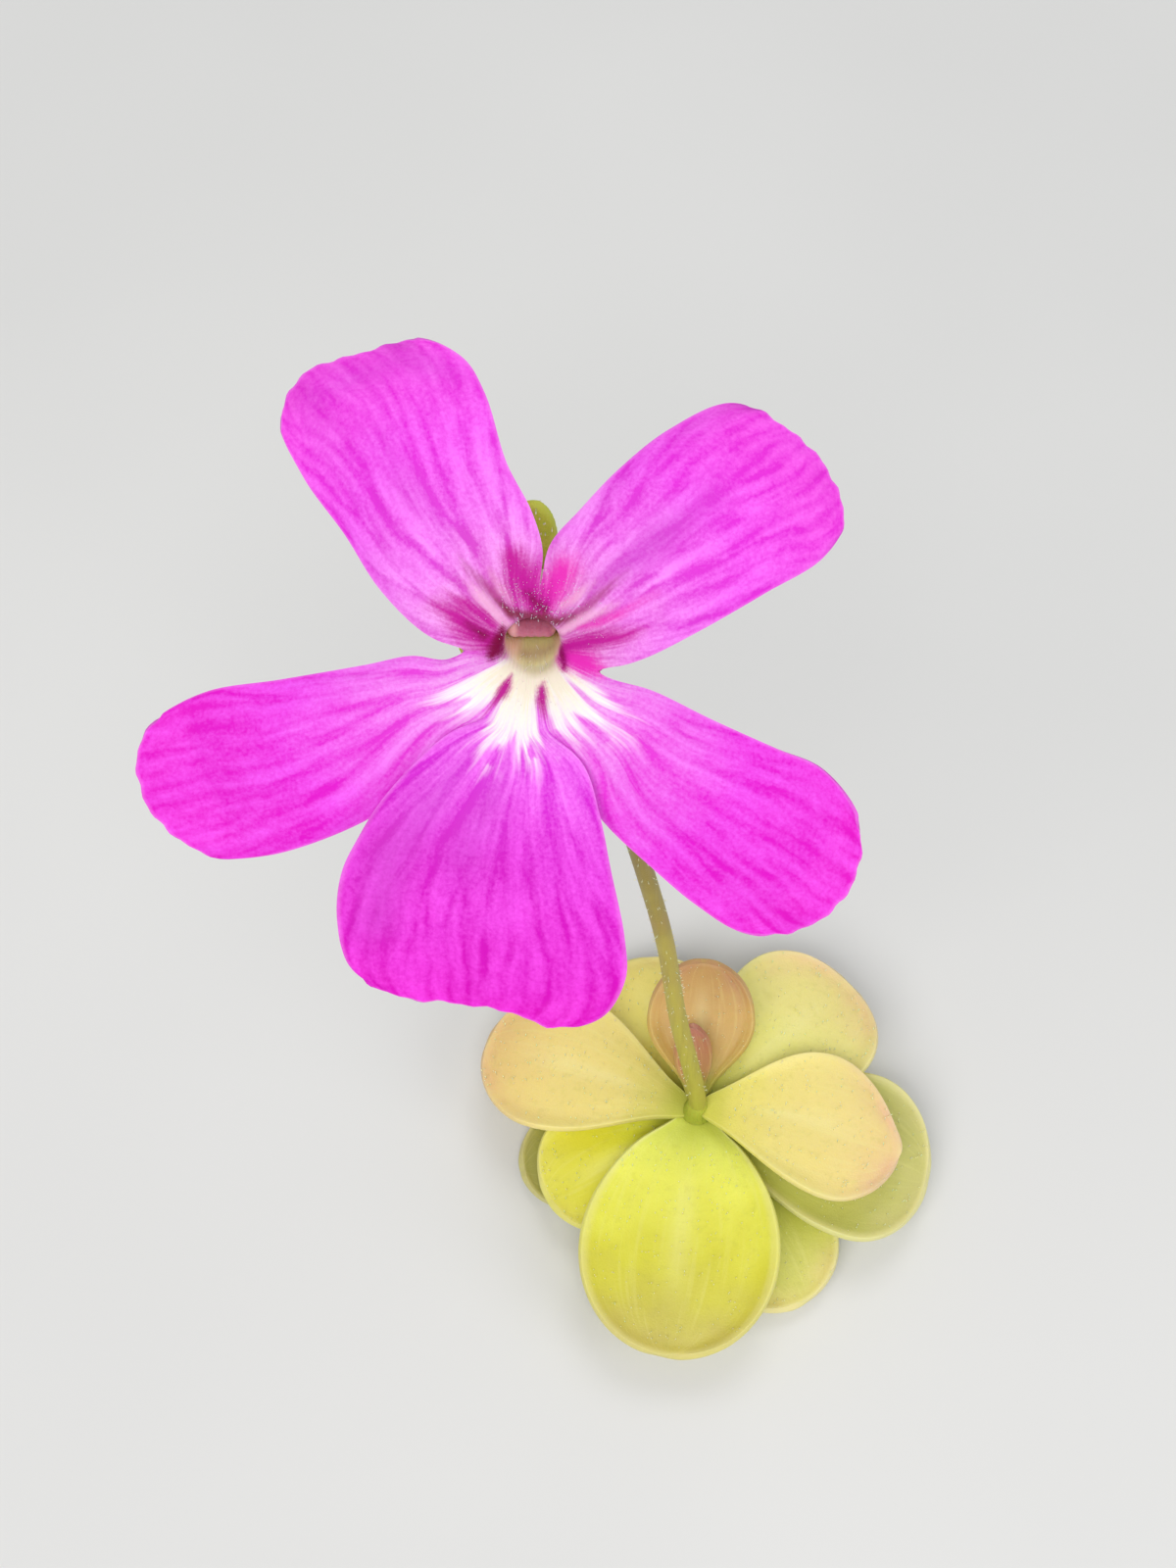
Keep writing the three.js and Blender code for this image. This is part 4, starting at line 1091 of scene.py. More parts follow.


# Colour marks in the flower's face, with painted shadow among them: how soft the edge is, then strokes of (x,
# y, half width, strength).
MARKS = {
    "stripe": (1.3, [
        [(-0.80, -0.60, 0.07, 0.5), (-0.97, -0.95, 0.16, 0.95), (-1.12, -1.22, 0.18, 1),
         (-1.32, -1.48, 0.12, 0.75), (-1.55, -1.80, 0.08, 0.4), (-1.85, -2.15, 0.06, 0.2)],
        [(0.31, -0.86, 0.08, 0.5), (0.24, -1.12, 0.16, 0.85), (0.23, -1.45, 0.19, 0.9),
         (0.28, -1.75, 0.16, 0.7), (0.36, -2.10, 0.12, 0.4)],
    ]),
    "flush": (1.2, [
        [(-1.30, -1.45, 0.14, 0.8), (-1.70, -1.95, 0.18, 0.9), (-2.10, -2.42, 0.20, 0.9),
         (-2.75, -2.85, 0.16, 0.9)],
        [(0.14, -1.25, 0.16, 0.6), (0.18, -1.70, 0.24, 0.9), (0.36, -2.20, 0.22, 1), (0.42, -2.60, 0.18, 1),
         (0.60, -3.20, 0.14, 1)],
        [(0.98, -0.50, 0.08, 0.7), (1.25, -0.85, 0.09, 0.8), (1.55, -1.14, 0.11, 0.9),
         (2.00, -1.60, 0.12, 0.9), (2.60, -2.00, 0.15, 1), (3.40, -2.40, 0.14, 1)],
        [(1.30, -1.90, 0.06, 0.4), (1.75, -2.25, 0.12, 0.8), (2.35, -2.75, 0.15, 1)],
        [(0.75, -2.50, 0.06, 0.5), (1.00, -2.95, 0.14, 0.9), (1.30, -3.60, 0.18, 1)],
        [(-1.45, -0.10, 0.12, 0.8), (-2.10, -0.30, 0.20, 0.9), (-2.90, -0.55, 0.20, 1)],
        [(-2.20, -1.42, 0.06, 0.5), (-2.80, -1.75, 0.12, 0.9), (-3.90, -2.05, 0.16, 1)],
        [(-1.20, -3.00, 0.06, 0.4), (-1.45, -3.45, 0.14, 1)],
        [(-0.62, -2.55, 0.05, 0.4), (-0.80, -3.10, 0.10, 0.9), (-0.95, -3.80, 0.12, 1)],
        [(-0.12, -2.85, 0.05, 0.4), (-0.08, -3.30, 0.10, 0.9)],
    ]),
    "blotch": (1.8, [
        [(-0.80, 3.80, 0.10, 0.3), (-0.68, 3.35, 0.37, 1), (-0.48, 2.75, 0.54, 1), (-0.18, 2.20, 0.52, 1),
         (0.12, 1.75, 0.42, 1)],
        [(-1.15, 0.55, 0.34, 1), (-1.60, 0.62, 0.43, 1), (-2.10, 0.95, 0.46, 1), (-2.65, 1.35, 0.38, 0.95),
         (-3.40, 1.80, 0.26, 0.6)],
        [(-1.40, 1.05, 0.15, 0.9), (-1.75, 1.40, 0.17, 1), (-2.40, 1.85, 0.16, 0.9),
         (-3.10, 2.30, 0.12, 0.4)],
        [(0.92, 0.30, 0.16, 1), (1.35, 0.45, 0.22, 1), (1.90, 0.55, 0.26, 1), (2.75, 0.66, 0.23, 0.95),
         (3.80, 0.95, 0.14, 0.5)],
        [(0.94, 0.10, 0.16, 0.9), (1.02, -0.35, 0.13, 0.9)],
    ]),
    "bloom": (1.8, [
        [(1.45, 3.45, 0.18, 0.4), (1.00, 2.90, 0.42, 0.95), (0.66, 2.40, 0.44, 1), (0.42, 1.90, 0.32, 1)],
        [(0.94, 0.15, 0.30, 1), (1.35, 0.00, 0.38, 1), (1.75, -0.20, 0.36, 1), (2.20, -0.45, 0.24, 0.8)],
        [(1.50, 0.98, 0.09, 0.6), (2.00, 1.10, 0.12, 0.8), (2.90, 1.45, 0.13, 0.7), (4.20, 2.20, 0.12, 0.3)],
    ]),
    "heart": (1.7, [
        [(-1.10, 1.02, 0.09, 0.7), (-1.20, 0.68, 0.19, 1), (-1.34, 0.30, 0.25, 1), (-1.48, 0.08, 0.16, 0.9)],
        [(0.90, 0.45, 0.06, 0.5), (0.94, 0.05, 0.09, 0.65), (1.03, -0.35, 0.07, 0.6)],
        [(-0.25, 2.20, 0.14, 0.5), (0.08, 1.86, 0.19, 0.65), (0.30, 1.66, 0.17, 0.65)],
        [(-2.30, 1.15, 0.14, 0.5), (-1.75, 0.75, 0.20, 0.7)],
    ]),
    # The dark line along the roof's edge, widened over the flap into painted shadow cast by the roof.
    "roofline_and_shadow": (1.6, [
        [(-1.30, 1.96, 0.07, 0.5), (-0.82, 1.50, 0.13, 0.9), (-0.05, 1.36, 0.20, 1), (0.45, 1.30, 0.18, 1),
         (0.85, 1.20, 0.11, 0.8), (1.36, 1.42, 0.08, 0.5)],
    ]),
    "shadow": (1.8, [
        [(-2.60, 3.50, 0.10, 0.4), (-2.28, 3.04, 0.12, 0.8), (-1.60, 2.35, 0.15, 1), (-1.16, 1.86, 0.17, 1),
         (-0.79, 1.52, 0.16, 1)],
        [(0.85, 1.26, 0.15, 1), (1.32, 1.42, 0.15, 1), (1.75, 1.66, 0.14, 0.9), (2.30, 2.15, 0.13, 0.8),
         (3.20, 2.85, 0.12, 0.4)],
    ]),
    "pale": (1.8, [
        [(-0.95, 1.10, 0.18, 0.9), (-1.30, 1.45, 0.18, 1), (-1.85, 2.05, 0.16, 0.9),
         (-2.40, 2.70, 0.12, 0.3)],
        [(0.85, 0.85, 0.12, 1), (1.40, 1.15, 0.14, 1), (2.10, 1.50, 0.13, 0.8), (3.00, 1.90, 0.10, 0.3)],
        [(-0.75, 1.92, 0.10, 0.6), (-1.10, 2.30, 0.14, 0.8), (-1.50, 2.95, 0.12, 0.4)],
        [(0.90, 1.75, 0.10, 0.8), (1.40, 2.05, 0.14, 0.9), (2.10, 2.60, 0.12, 0.3)],
    ]),
    "sap": (0.3, [
        [(0.12, 0.45, 0.62, 1), (0.08, 0.10, 0.70, 1), (0.00, -0.15, 0.50, 0.8)],
    ]),
    "trunk": (1.5, [
        [(-0.95, -3.34, 0.10, 0.7), (-1.05, -4.21, 0.15, 1), (-1.24, -4.89, 0.15, 1),
         (-1.34, -6.06, 0.16, 0.9), (-1.72, -7.22, 0.17, 0.8), (-1.98, -8.78, 0.16, 0.4)],
        [(-0.12, -3.24, 0.09, 0.7), (-0.17, -3.83, 0.11, 0.8), (-0.42, -4.60, 0.11, 0.5),
         (-0.55, -5.60, 0.10, 0.2)],
        [(0.40, -3.60, 0.08, 0.3), (0.36, -4.21, 0.10, 0.5), (0.48, -5.09, 0.13, 0.7),
         (0.30, -6.45, 0.14, 0.7), (0.22, -8.00, 0.14, 0.5)],
        [(-1.45, -3.70, 0.08, 0.4), (-1.80, -4.40, 0.13, 0.8), (-2.26, -5.09, 0.14, 0.8),
         (-2.94, -6.06, 0.16, 0.8), (-3.70, -7.30, 0.16, 0.4)],
        [(0.95, -3.90, 0.08, 0.3), (1.25, -4.80, 0.10, 0.4), (1.60, -6.20, 0.12, 0.4),
         (1.75, -7.60, 0.12, 0.2)],
        [(-0.82, 3.73, 0.12, 0.5), (-1.68, 5.00, 0.15, 0.8), (-2.25, 6.40, 0.15, 0.5)],
        [(-0.10, 4.20, 0.08, 0.4), (-0.87, 6.15, 0.12, 0.6), (-1.50, 7.60, 0.12, 0.2)],
        [(-2.60, 3.50, 0.12, 0.6), (-3.30, 4.90, 0.15, 0.8), (-3.90, 6.60, 0.15, 0.3)],
        [(1.07, 3.62, 0.10, 0.4), (2.11, 4.54, 0.14, 0.7), (3.49, 5.69, 0.14, 0.4)],
        [(2.40, 1.95, 0.11, 0.6), (3.60, 2.75, 0.15, 0.8), (5.00, 3.60, 0.15, 0.4)],
    ]),
    # Deeper violet over parts of the lobes, partly their own colour and partly painted shade.
    "violet_shade": (1.6, [
        [(1.90, 2.15, 0.20, 0.8), (3.00, 3.05, 0.35, 1), (4.40, 4.10, 0.55, 1), (6.00, 5.40, 0.50, 0.6)],
        [(-2.90, 3.90, 0.25, 0.3), (-4.30, 5.60, 0.40, 0.5), (-5.20, 7.40, 0.40, 0.3)],
        [(-2.60, 9.60, 0.30, 0.3), (-4.60, 10.20, 0.40, 0.6), (-7.60, 8.90, 0.30, 0.3)],
        [(-2.20, -3.30, 0.30, 0.5), (-3.40, -4.90, 0.60, 0.9), (-4.90, -6.80, 0.70, 0.9),
         (-5.40, -9.00, 0.60, 0.7)],
        [(-0.90, -3.40, 0.25, 0.4), (-1.50, -4.80, 0.50, 0.8), (-2.40, -6.60, 0.70, 0.7)],
    ]),
}
# Where the cream of the throat ends: degrees round the throat and millimetres from it.
CREAM_REACH = [(-180, 1.1), (-168, 1.8), (-158, 3.6), (-146, 3.4), (-133, 3.1), (-114, 3.6), (-100, 3.6),
               (-90, 3.6), (-80, 3.0), (-67, 3.0), (-55, 3.3), (-40, 3.8), (-30, 3.5), (-22, 1.7),
               (-12, 1.15), (0, 1.0), (40, 1.1), (90, 1.2), (140, 1.2), (180, 1.1)]


def mark_weight(x, y, strokes, softness):
    """1 on the strokes, 0 away from them."""
    best = np.zeros_like(x)
    for stroke in strokes:
        for (x0, y0, w0, s0), (x1, y1, w1, s1) in zip(stroke, stroke[1:]):
            dx, dy = x1 - x0, y1 - y0
            share = np.clip(((x - x0) * dx + (y - y0) * dy) / (dx * dx + dy * dy), 0, 1)
            away = np.hypot(x - x0 - share * dx, y - y0 - share * dy)
            near = (1 + softness - away / (w0 + (w1 - w0) * share)) / (2 * softness)
            near = np.clip(near, 0, 1)
            best = np.maximum(best, near * near * (3 - 2 * near) * (s0 + (s1 - s0) * share))
    return best


# The height in the flower's frame where the marks have faded into the tube, and where its depths begin,
# each with its span.
MARK_FADE = (-1.45, 0.5)
DEPTHS = (-0.55, 2.2)
CREAM_FULL = 1.5                  # the cream's value in the throat's middle; it is 0.5 where it ends


def paint_marks(piece):
    """Stores the throat's marks on the corolla's points, by their place in the flower's face."""
    spots = np.empty(len(piece.data.vertices) * 3)
    piece.data.vertices.foreach_get("co", spots)
    back = np.array(FLOWER.inverted())
    x, y, z = (spots.reshape(-1, 3) / MM @ back[:3, :3].T + back[:3, 3]).T
    shallow = np.clip((z - MARK_FADE[0]) / MARK_FADE[1], 0, 1)
    angles, reaches = zip(*CREAM_REACH)
    limit = np.interp(np.degrees(np.arctan2(y, x)), angles, reaches)
    values = {"cream": np.clip(CREAM_FULL - np.hypot(x, y) / limit, 0, CREAM_FULL),
              "deep": np.clip((DEPTHS[0] - z) / DEPTHS[1], 0, 1)}
    for name, (softness, strokes) in MARKS.items():
        weight = mark_weight(x, y, strokes, softness)
        values[name] = weight if name == "sap" else weight * shallow
    for name, value in values.items():
        piece.data.attributes.new(name, "FLOAT", "POINT").data.foreach_set("value", value)


def petal_patterns(skin):
    """What the petals' colours are made of: their maps, veins that fan out and fork twice, and noises."""
    across, along = skin.laid("lobe")
    straight_lane, spacing = skin.laid("vein")
    wander = skin.noise_at(straight_lane * 0.8, along * 2.2, 0.0) - 0.5
    ripple = skin.noise_at(straight_lane * 3.1, along * 14, 4.0, 1) - 0.5
    lane = straight_lane + wander * 0.45 + ripple * 0.05
    early = skin.noise_at(lane * 0.7, 0.0, 7.0, 1) - 0.5
    late = skin.noise_at(lane * 1.9, 0.0, 13.0, 1) - 0.5
    branch = abs(lane - skin.floor(lane) - 0.5)
    branch = abs(branch - skin.step(along + early * 0.6, 0.12, 0.42) * 0.25)
    branch = abs(branch - skin.step(along + late * 0.6, 0.40, 0.80) * 0.125)
    distance = branch * spacing
    strength = skin.step(skin.noise_at(lane * 1.7, along * 5.5, 2.0, 3), 0.30, 0.66)
    place = skin.place()
    streak = skin.noise_at(lane * 2.5, along * 1.5, 9.0, 3)
    fibre = skin.noise_at(lane * 7.0, along * 7.0, 17.0, 3)
    return SimpleNamespace(
        across=across, along=along, place=place, streak=streak, fibre=fibre,
        number=skin.floor(straight_lane / LANE_STEP + 0.5),
        core=skin.bell(distance, 0.09) * (0.20 + strength * 0.80),
        halo=skin.bell(distance, 0.19) * (0.15 + strength * 0.85),
        net=skin.noise_at(lane * 4.0, along * 24.0, 23.0),
        ray=skin.step(streak, 0.34, 0.66),
        wisp=skin.step(fibre, 0.32, 0.68),
        grain=skin.noise(place, 8.0, 2, 0.6),
        cloud=skin.noise(place, 0.5, 3))


# Petal colours from a lobe's base to its tip, between the veins and on them: those of the side lobes, of the
# upper ones and of the bottom one.
PALE = [
    [(0.0, "eab0e8"), (0.15, "ec94ec"), (0.3, "ea7aea"), (0.55, "ea58ea"), (1.0, "ea4ae0")],
    [(0.0, "eca8e8"), (0.25, "f28ef2"), (0.55, "f06cf0"), (1.0, "ee5ce0")],
    [(0.0, "f09cee"), (0.15, "f280f2"), (0.45, "ea56e6"), (1.0, "ea38d8")],
]
DARK = [
    [(0.0, "de60d8"), (0.2, "dc3cd0"), (0.5, "da12c8"), (1.0, "da0cbe")],
    [(0.0, "c850b4"), (0.25, "d43ecc"), (0.6, "dc2cd2"), (1.0, "dc2ccc")],
    [(0.0, "d848d8"), (0.2, "d22cd0"), (0.5, "ca08bc"), (1.0, "d200b6")],
]
UPPER_LOBES = 1.5                 # the numbers of the upper two lobes, 0 and 1, lie below this
BOTTOM_LOBE = 3


def petal_tint(skin, petal, tints):
    """One of the petals' two colours, which runs along each lobe."""
    shift = petal.along + (petal.cloud - 0.5) * 0.25
    side, upper, bottom = (skin.ramp(shift, stops) for stops in tints)
    body = skin.mix(skin.step(petal.number, UPPER_LOBES + 0.1, UPPER_LOBES - 0.1), side, upper)
    return skin.mix(skin.bell(petal.number - BOTTOM_LOBE, 0.4), body, bottom)


def petal_flesh(skin, petal):
    """The petals' colour, from pale between the veins to dark on them."""
    along = petal.along
    # Veins, broken streaks beside them, netting that grows towards the tip, and the cells' grain.
    netting = (1 - skin.step(abs(petal.net - 0.5), 0.0, 0.10)) * skin.step(along, 0.1, 0.8)
    weight = (0.35 - along * 0.09 + petal.halo * 0.46 + petal.core * 0.12
              + (petal.streak - 0.5) * (1.9 - along) + skin.mark("trunk") * 0.5
              + (petal.fibre - 0.5) * (0.8 + along * 0.8) + netting * 0.16
              + (petal.grain - 0.5) + (petal.cloud - 0.5) * 0.3)
    # Deeper violet, partly painted shade on the lobes.
    violet_shade = skin.mark("violet_shade")
    flesh = skin.mix(weight + violet_shade * 0.2, petal_tint(skin, petal, PALE), petal_tint(skin, petal, DARK))
    flesh = skin.over(flesh, violet_shade * 0.5, "c04cc0")
    # Pale, thin margins.
    sides = skin.step(skin.smaller(petal.across, 1 - petal.across), 0.025, 0.0) * skin.step(along, 0.05, 0.2)
    margin = skin.larger(sides, skin.step(along, 0.985, 1.0))
    return skin.over(flesh, margin * 0.3, "f09aea")


def throat_cream(skin, petal, flesh):
    """The cream of the throat, which runs out in streaks."""
    reach = (skin.mark("cream") + (petal.ray - 0.5) * 0.18 - petal.core * 0.10 - petal.halo * 0.08
             - (petal.wisp - 0.5) * 0.14 - skin.mark("flush") * 0.6)
    return skin.mix(skin.step(reach, 0.20, 0.72), flesh, skin.ramp(reach, [
        (0.38, "eec0ea"), (0.58, "f0e0ec"), (0.78, "f2ece8"), (0.98, "f4f0e0"), (1.0, "f2ecd6")]))


def throat_walls(skin, petal, flesh):
    """Inside the tube, where the walls are blush white with painted shade that deepens further in, and the
    floor is dull yellow-green.
    """
    deep = skin.mark("deep") + (petal.streak - 0.5) * 0.12
    # The walls darken deeper in the tube: painted shade.
    shaded_wall = skin.ramp(deep, [
        (0.10, "e0c6b2"), (0.25, "c6a690"), (0.45, "d0ac9c"), (0.7, "b49076"), (1.0, "70583c")])
    sap = skin.ramp(deep, [
        (0.3, "ccc69c"), (0.45, "a8987a"), (0.6, "b8ae7c"), (0.72, "bab682"), (1.0, "b0a86e")])
    flesh = skin.mix(skin.step(petal.along, -0.12, -0.34), flesh, shaded_wall)
    return skin.mix(skin.mark("sap") * skin.step(petal.along, -0.02, -0.20), flesh, sap)


# The throat's pigment marks and painted shadow, in the order that they are laid, with how strong each is and
# its colour.
STAINS_AND_SHADE = [("shadow", 0.75, "a8407e"), ("pale", 0.70, "ecb4d4"), ("bloom", 1, "e02cb4"),
          ("blotch", 1, "bc1494"), ("heart", 1, "7c0040"), ("stripe", 1, "ba2490"),
          ("roofline_and_shadow", 0.9, "7e2c40")]


def throat_marks_and_shade(skin, petal, flesh):
    """The pigment marks and painted shadow, ragged where they fade."""
    front = skin.step(petal.along, -0.45, -0.12)
    fine = skin.noise(petal.place, 12.0, 2, 0.7)
    ragged = (petal.ray - 0.5) * 0.6 + (petal.wisp - 0.5) * 0.6 + (fine - 0.5) * 1.8
    for mark, amount, tint in STAINS_AND_SHADE:
        there = skin.mark(mark)
        stain_and_shade = skin.step(there + there * (1 - there) * ragged, 0.02, 0.84) * front
        flesh = skin.over(flesh, stain_and_shade * amount, tint)
    return flesh


def petal_back(skin, petal, flesh):
    """The paler back of the petals, and the tube's cream outside with its pink veins."""
    tube = skin.over(shade("efe2c4"), petal.halo * 0.5, "c98fa0")
    return skin.mix(skin.step(petal.along, 0.12, -0.10), skin.over(flesh, 0.30, "f6b8ee"), tube)


PETAL_GLOW = dict(glow=0.25, glow_depth=0.4, glow_spread=(1.0, 0.45, 1.0))
THROAT_GLOW = dict(glow=1.0, glow_depth=1.0, glow_spread=(1.0, 0.9, 0.6))


def petal_finish(name, inner, glow):
    skin = Skin(name, specular_ior_level=0.14, **glow)
    petal = petal_patterns(skin)
    flesh = throat_cream(skin, petal, petal_flesh(skin, petal))
    if inner:
        flesh = throat_marks_and_shade(skin, petal, throat_walls(skin, petal, flesh))
    else:
        flesh = petal_back(skin, petal, throat_marks_and_shade(skin, petal, flesh))
    relief = petal.grain * 0.5 - petal.halo * 0.4 - petal.core * 0.3 + petal.streak * 0.3
    return skin.finished(flesh, 0.50 + petal.grain * 0.16, relief, 0.03)


SPUR_FADE = (58, 13)              # the height of the spur's tip, and how far its colours run up from there


def spur_finish():
    skin = Skin("spur_skin", glow=0.35, glow_depth=0.7, glow_spread=(1.0, 0.8, 0.5), specular_ior_level=0.35,
                roughness=0.45)
    place = skin.place()
    x, y, z = skin.split(place)
    streak = skin.noise_at(x * 4, y * 1.2, z * 1.2, 3)
    grain = skin.noise(place, 9.0)
    body = skin.ramp((z - SPUR_FADE[0]) / SPUR_FADE[1], [
        (0.0, "b9a35a"), (0.4, "d9c088"), (0.8, "ecd9b0"), (1.0, "f0e0c4")])
    body = skin.over(body, skin.step(streak, 0.48, 0.72) * 0.45, "c9809a")
    return skin.finished(body, relief=streak + grain * 0.5, depth=0.04)


ROOM_SIDES = 40
ROOM_ROWS = 14


def tube_room():
    """The space inside the tube's wall, as a closed solid."""
    rings = tube_line(TUBE_RINGS[:-1])

    def point(across, along):
        place, width, height = rings.at(along)
        return tube_point(place / TUBE_STRETCH, width, height, -across * TURN)

    room = sheet("room", ROOM_SIDES, ROOM_ROWS, point, {})
    edit(room, weld(WELD))
    pick(room)
    bpy.ops.object.mode_set(mode="EDIT")
    bpy.ops.mesh.select_all(action="DESELECT")
    bpy.ops.mesh.select_mode(type="EDGE")
    bpy.ops.mesh.select_non_manifold()
    bpy.ops.mesh.fill_holes(sides=0)
    bpy.ops.object.mode_set(mode="OBJECT")
    edit(room, bpy.ops.mesh.fill_holes, outwards)
    return room


SPUR_INSET = 0.02                 # keeps the spur within the CAD's
SPUR_STEPS = 70
SPUR_TIP_START = 0.94             # where along the spur its round tip begins
SPUR_POINT = 0.02                 # the square of how thin the very end is, as a share of the spur there


def spur():
    """The nectar spur, cut where it meets the tube's wall."""
    def radius_at(s):
        past = max((s - SPUR_TIP_START) / (1 - SPUR_TIP_START), 0)
        tip = math.sqrt(max(1 - past ** 2, SPUR_POINT))
        return (lerp(SPUR_RADII[0], SPUR_RADII[1], s ** 0.5) - SPUR_INSET) * tip

    piece = swept("spur", Line(SPUR_POINTS), radius_at, SPUR_STEPS, 5)
    room = tube_room()
    applied(piece, "BOOLEAN", operation="DIFFERENCE", object=room, solver="EXACT")
    bpy.data.objects.remove(room)
    piece.data.materials.append(materials["spur"])
    return piece


SOFT_REACH = 0.24                 # how far from the rim it is softened, in the map along a lobe
SOFT_SWEEPS = 26
ROOF_SHARE = 0.3                  # how much the roof's edge is softened, where the floor's is 1
ROOF_SPAN = (-0.2, 1.4)           # the height in the throat where that starts to fall off, and over what


def lobe_places(piece):
    """Where each of the corolla's points lies in the map of the lobes: {point: (across, along)}."""
    layer = piece.data.uv_layers["lobe"].data
    places = {}
    for loop in piece.data.loops:
        places.setdefault(loop.vertex_index, tuple(layer[loop.index].uv))
    return places


def soften_rim(piece):
    """Rounds the edge where the limb turns into the tube, most of all on the throat's floor."""
    rim = piece.vertex_groups.new(name="rim")
    for corner, (_, along) in lobe_places(piece).items():
        near = max(1 - abs(along + BASE_SPAN) / SOFT_REACH, 0)
        height = piece.data.vertices[corner].co.y / MM
        roof = smooth((height - ROOF_SPAN[0]) / ROOF_SPAN[1])
        rim.add([corner], near * lerp(1.0, ROOF_SHARE, roof), "REPLACE")
    applied(piece, "SMOOTH", factor=SMOOTHING, iterations=SOFT_SWEEPS, vertex_group="rim")


def thin_margins(piece):
    """A group that the sheet's thickness follows: less at the margins of the lobes, even in the tube."""
    body = piece.vertex_groups.new(name="body")
    for corner, (across, along) in lobe_places(piece).items():
        sides, tip = smooth(min(across, 1 - across) / MARGIN_SPAN[0]), smooth((1 - along) / MARGIN_SPAN[1])
        share = lerp(MARGIN_SHARE, 1, min(sides, tip)) if along > MARGIN_START else 1
        body.add([corner], share, "REPLACE")


PETAL_SKINS = ("petal_inner", "petal_outer", "throat_inner", "throat_outer")
THROAT_SKIN = PETAL_SKINS.index("throat_inner")


def corolla():
    lobes = [sheet("lobe", PETAL_COLUMNS, PETAL_ROWS, *lobe_rules(number)) for number in range(len(LOBES))]
    piece = joined("flower_crown", lobes)
    edit(piece, weld(SEAM_WELD), outwards)
    if sum(face.normal.z for face in piece.data.polygons) < 0:
        edit(piece, bpy.ops.mesh.flip_normals)
    soften_rim(piece)
    thin_margins(piece)
    for key in PETAL_SKINS:
        piece.data.materials.append(materials[key])
    layer = piece.data.uv_layers["lobe"].data
    for face in piece.data.polygons:
        if all(layer[k].uv[1] < TUBE_GLOW_START for k in face.loop_indices):
            face.material_index = THROAT_SKIN
    applied(piece, "SOLIDIFY", thickness=PETAL_THICKNESS * MM, offset=0, vertex_group="body",
            thickness_vertex_group=0.0, material_offset=1, material_offset_rim=0)
    piece = joined("flower_corolla", [piece, spur()])
    placed(piece, FLOWER)
    paint_marks(piece)
    rounded(piece, PETAL_CREASE)
    return dressed(piece, None, "petal_magenta", "corolla")


# ---------------------------------------------------------------- calyx, pistil and stamens

SEPAL_COLUMNS = 14
SEPAL_ROWS = 22
SEPAL_FULLNESS = (0.55, 0.8)
RECEPTACLE_SIDES = 32
CALYX_FUSING = (0.075, 2)         # the grain of the fused shape, and how many sweeps smooth it
SEPAL_GLANDS = dict(count=70, along=(0.1, 0.97), across=(-0.95, 0.95), height=(0.1, 0.22), width=0.06,
                    inset=0.17)


def sepal_finish():
    skin = Skin("sepal_skin", glow=0.25, glow_depth=0.6, glow_spread=(1.0, 0.9, 0.3), specular_ior_level=0.4)
    place = skin.place()
    cloud = skin.noise(place, 1.1, 3)
    grain = skin.noise(place, 10.0, 3, 0.6)
    body = skin.ramp(cloud, [(0.25, "bcd83c"), (0.55, "cae24a"), (0.8, "d6e85e")])
    body = skin.over(body, skin.step(grain, 0.5, 0.75) * 0.3, "d8dc80")
    return skin.finished(body, 0.5 + grain * 0.2, grain, 0.05)


def calyx(shape, rng):
    parts = [turned("receptacle", RECEPTACLE_PROFILE, RECEPTACLE_SIDES)]
    seats = []
    for row in SEPALS:
        blade = {**SEPAL_SHAPE, **row, "length": row["reach"]}
        turn = Matrix.Rotation(math.radians(row["turn"] - 90), 4, "Z") @ Matrix.Rotation(math.pi, 4, "X")
        matrix = Matrix.Translation((0, 0, SEPAL_SEAT)) @ turn
        parts.append(blade_sheet("sepal", blade, SEPAL_COLUMNS, SEPAL_ROWS, matrix, SEPAL_FULLNESS))
        for _ in range(SEPAL_GLANDS["count"]):
            t, v = rng.uniform(*SEPAL_GLANDS["along"]), rng.uniform(*SEPAL_GLANDS["across"])
            face = rng.choice((-1, 1))
            point, angle = blade_point(blade, t, v)
            up = Vector((-math.sin(angle), 0, math.cos(angle))) * face
            foot = AT_TUBE_END @ (matrix @ (point + up * SEPAL_GLANDS["inset"]))
            direction = AT_TUBE_END.to_3x3() @ matrix.to_3x3() @ up
            seats.append((foot, direction, rng.uniform(*SEPAL_GLANDS["height"]), SEPAL_GLANDS["width"]))
    piece = grown(joined("calyx_cup", parts), *CALYX_FUSING)
    placed(piece, AT_TUBE_END)
    dressed(piece, materials["sepal"], "sepal_green", "calyx")
    dressed(planted("calyx_glands", shape, seats), materials["dew"], "sepal_green")


# The stigma's flap is grown from balls side by side along x, so its edge is straight.
FLAP_SPREAD = (-0.60, -0.32, -0.04, 0.24, 0.52)
FLAP_BALL = 0.5                   # each ball's width as a share of the flap's
FLAP_TALL = 1.8                   # the flap's height as a share of the CAD's, so that it meets the roof
FLAP_MIDDLE = -8.61               # where the flap's middle lies along x, between its pale side margins
FLAP_SAG = 0.02                   # how far the flap hangs below its place in the CAD
PISTIL_INSET = 0.02               # keeps the ovary and the style within the CAD's
PISTIL_FADE = (70.4, 2.9)         # the height where the pistil's colours begin, and how far up they run
STYLE_STEPS = 12
PISTIL_FUSING = (0.045, 2)


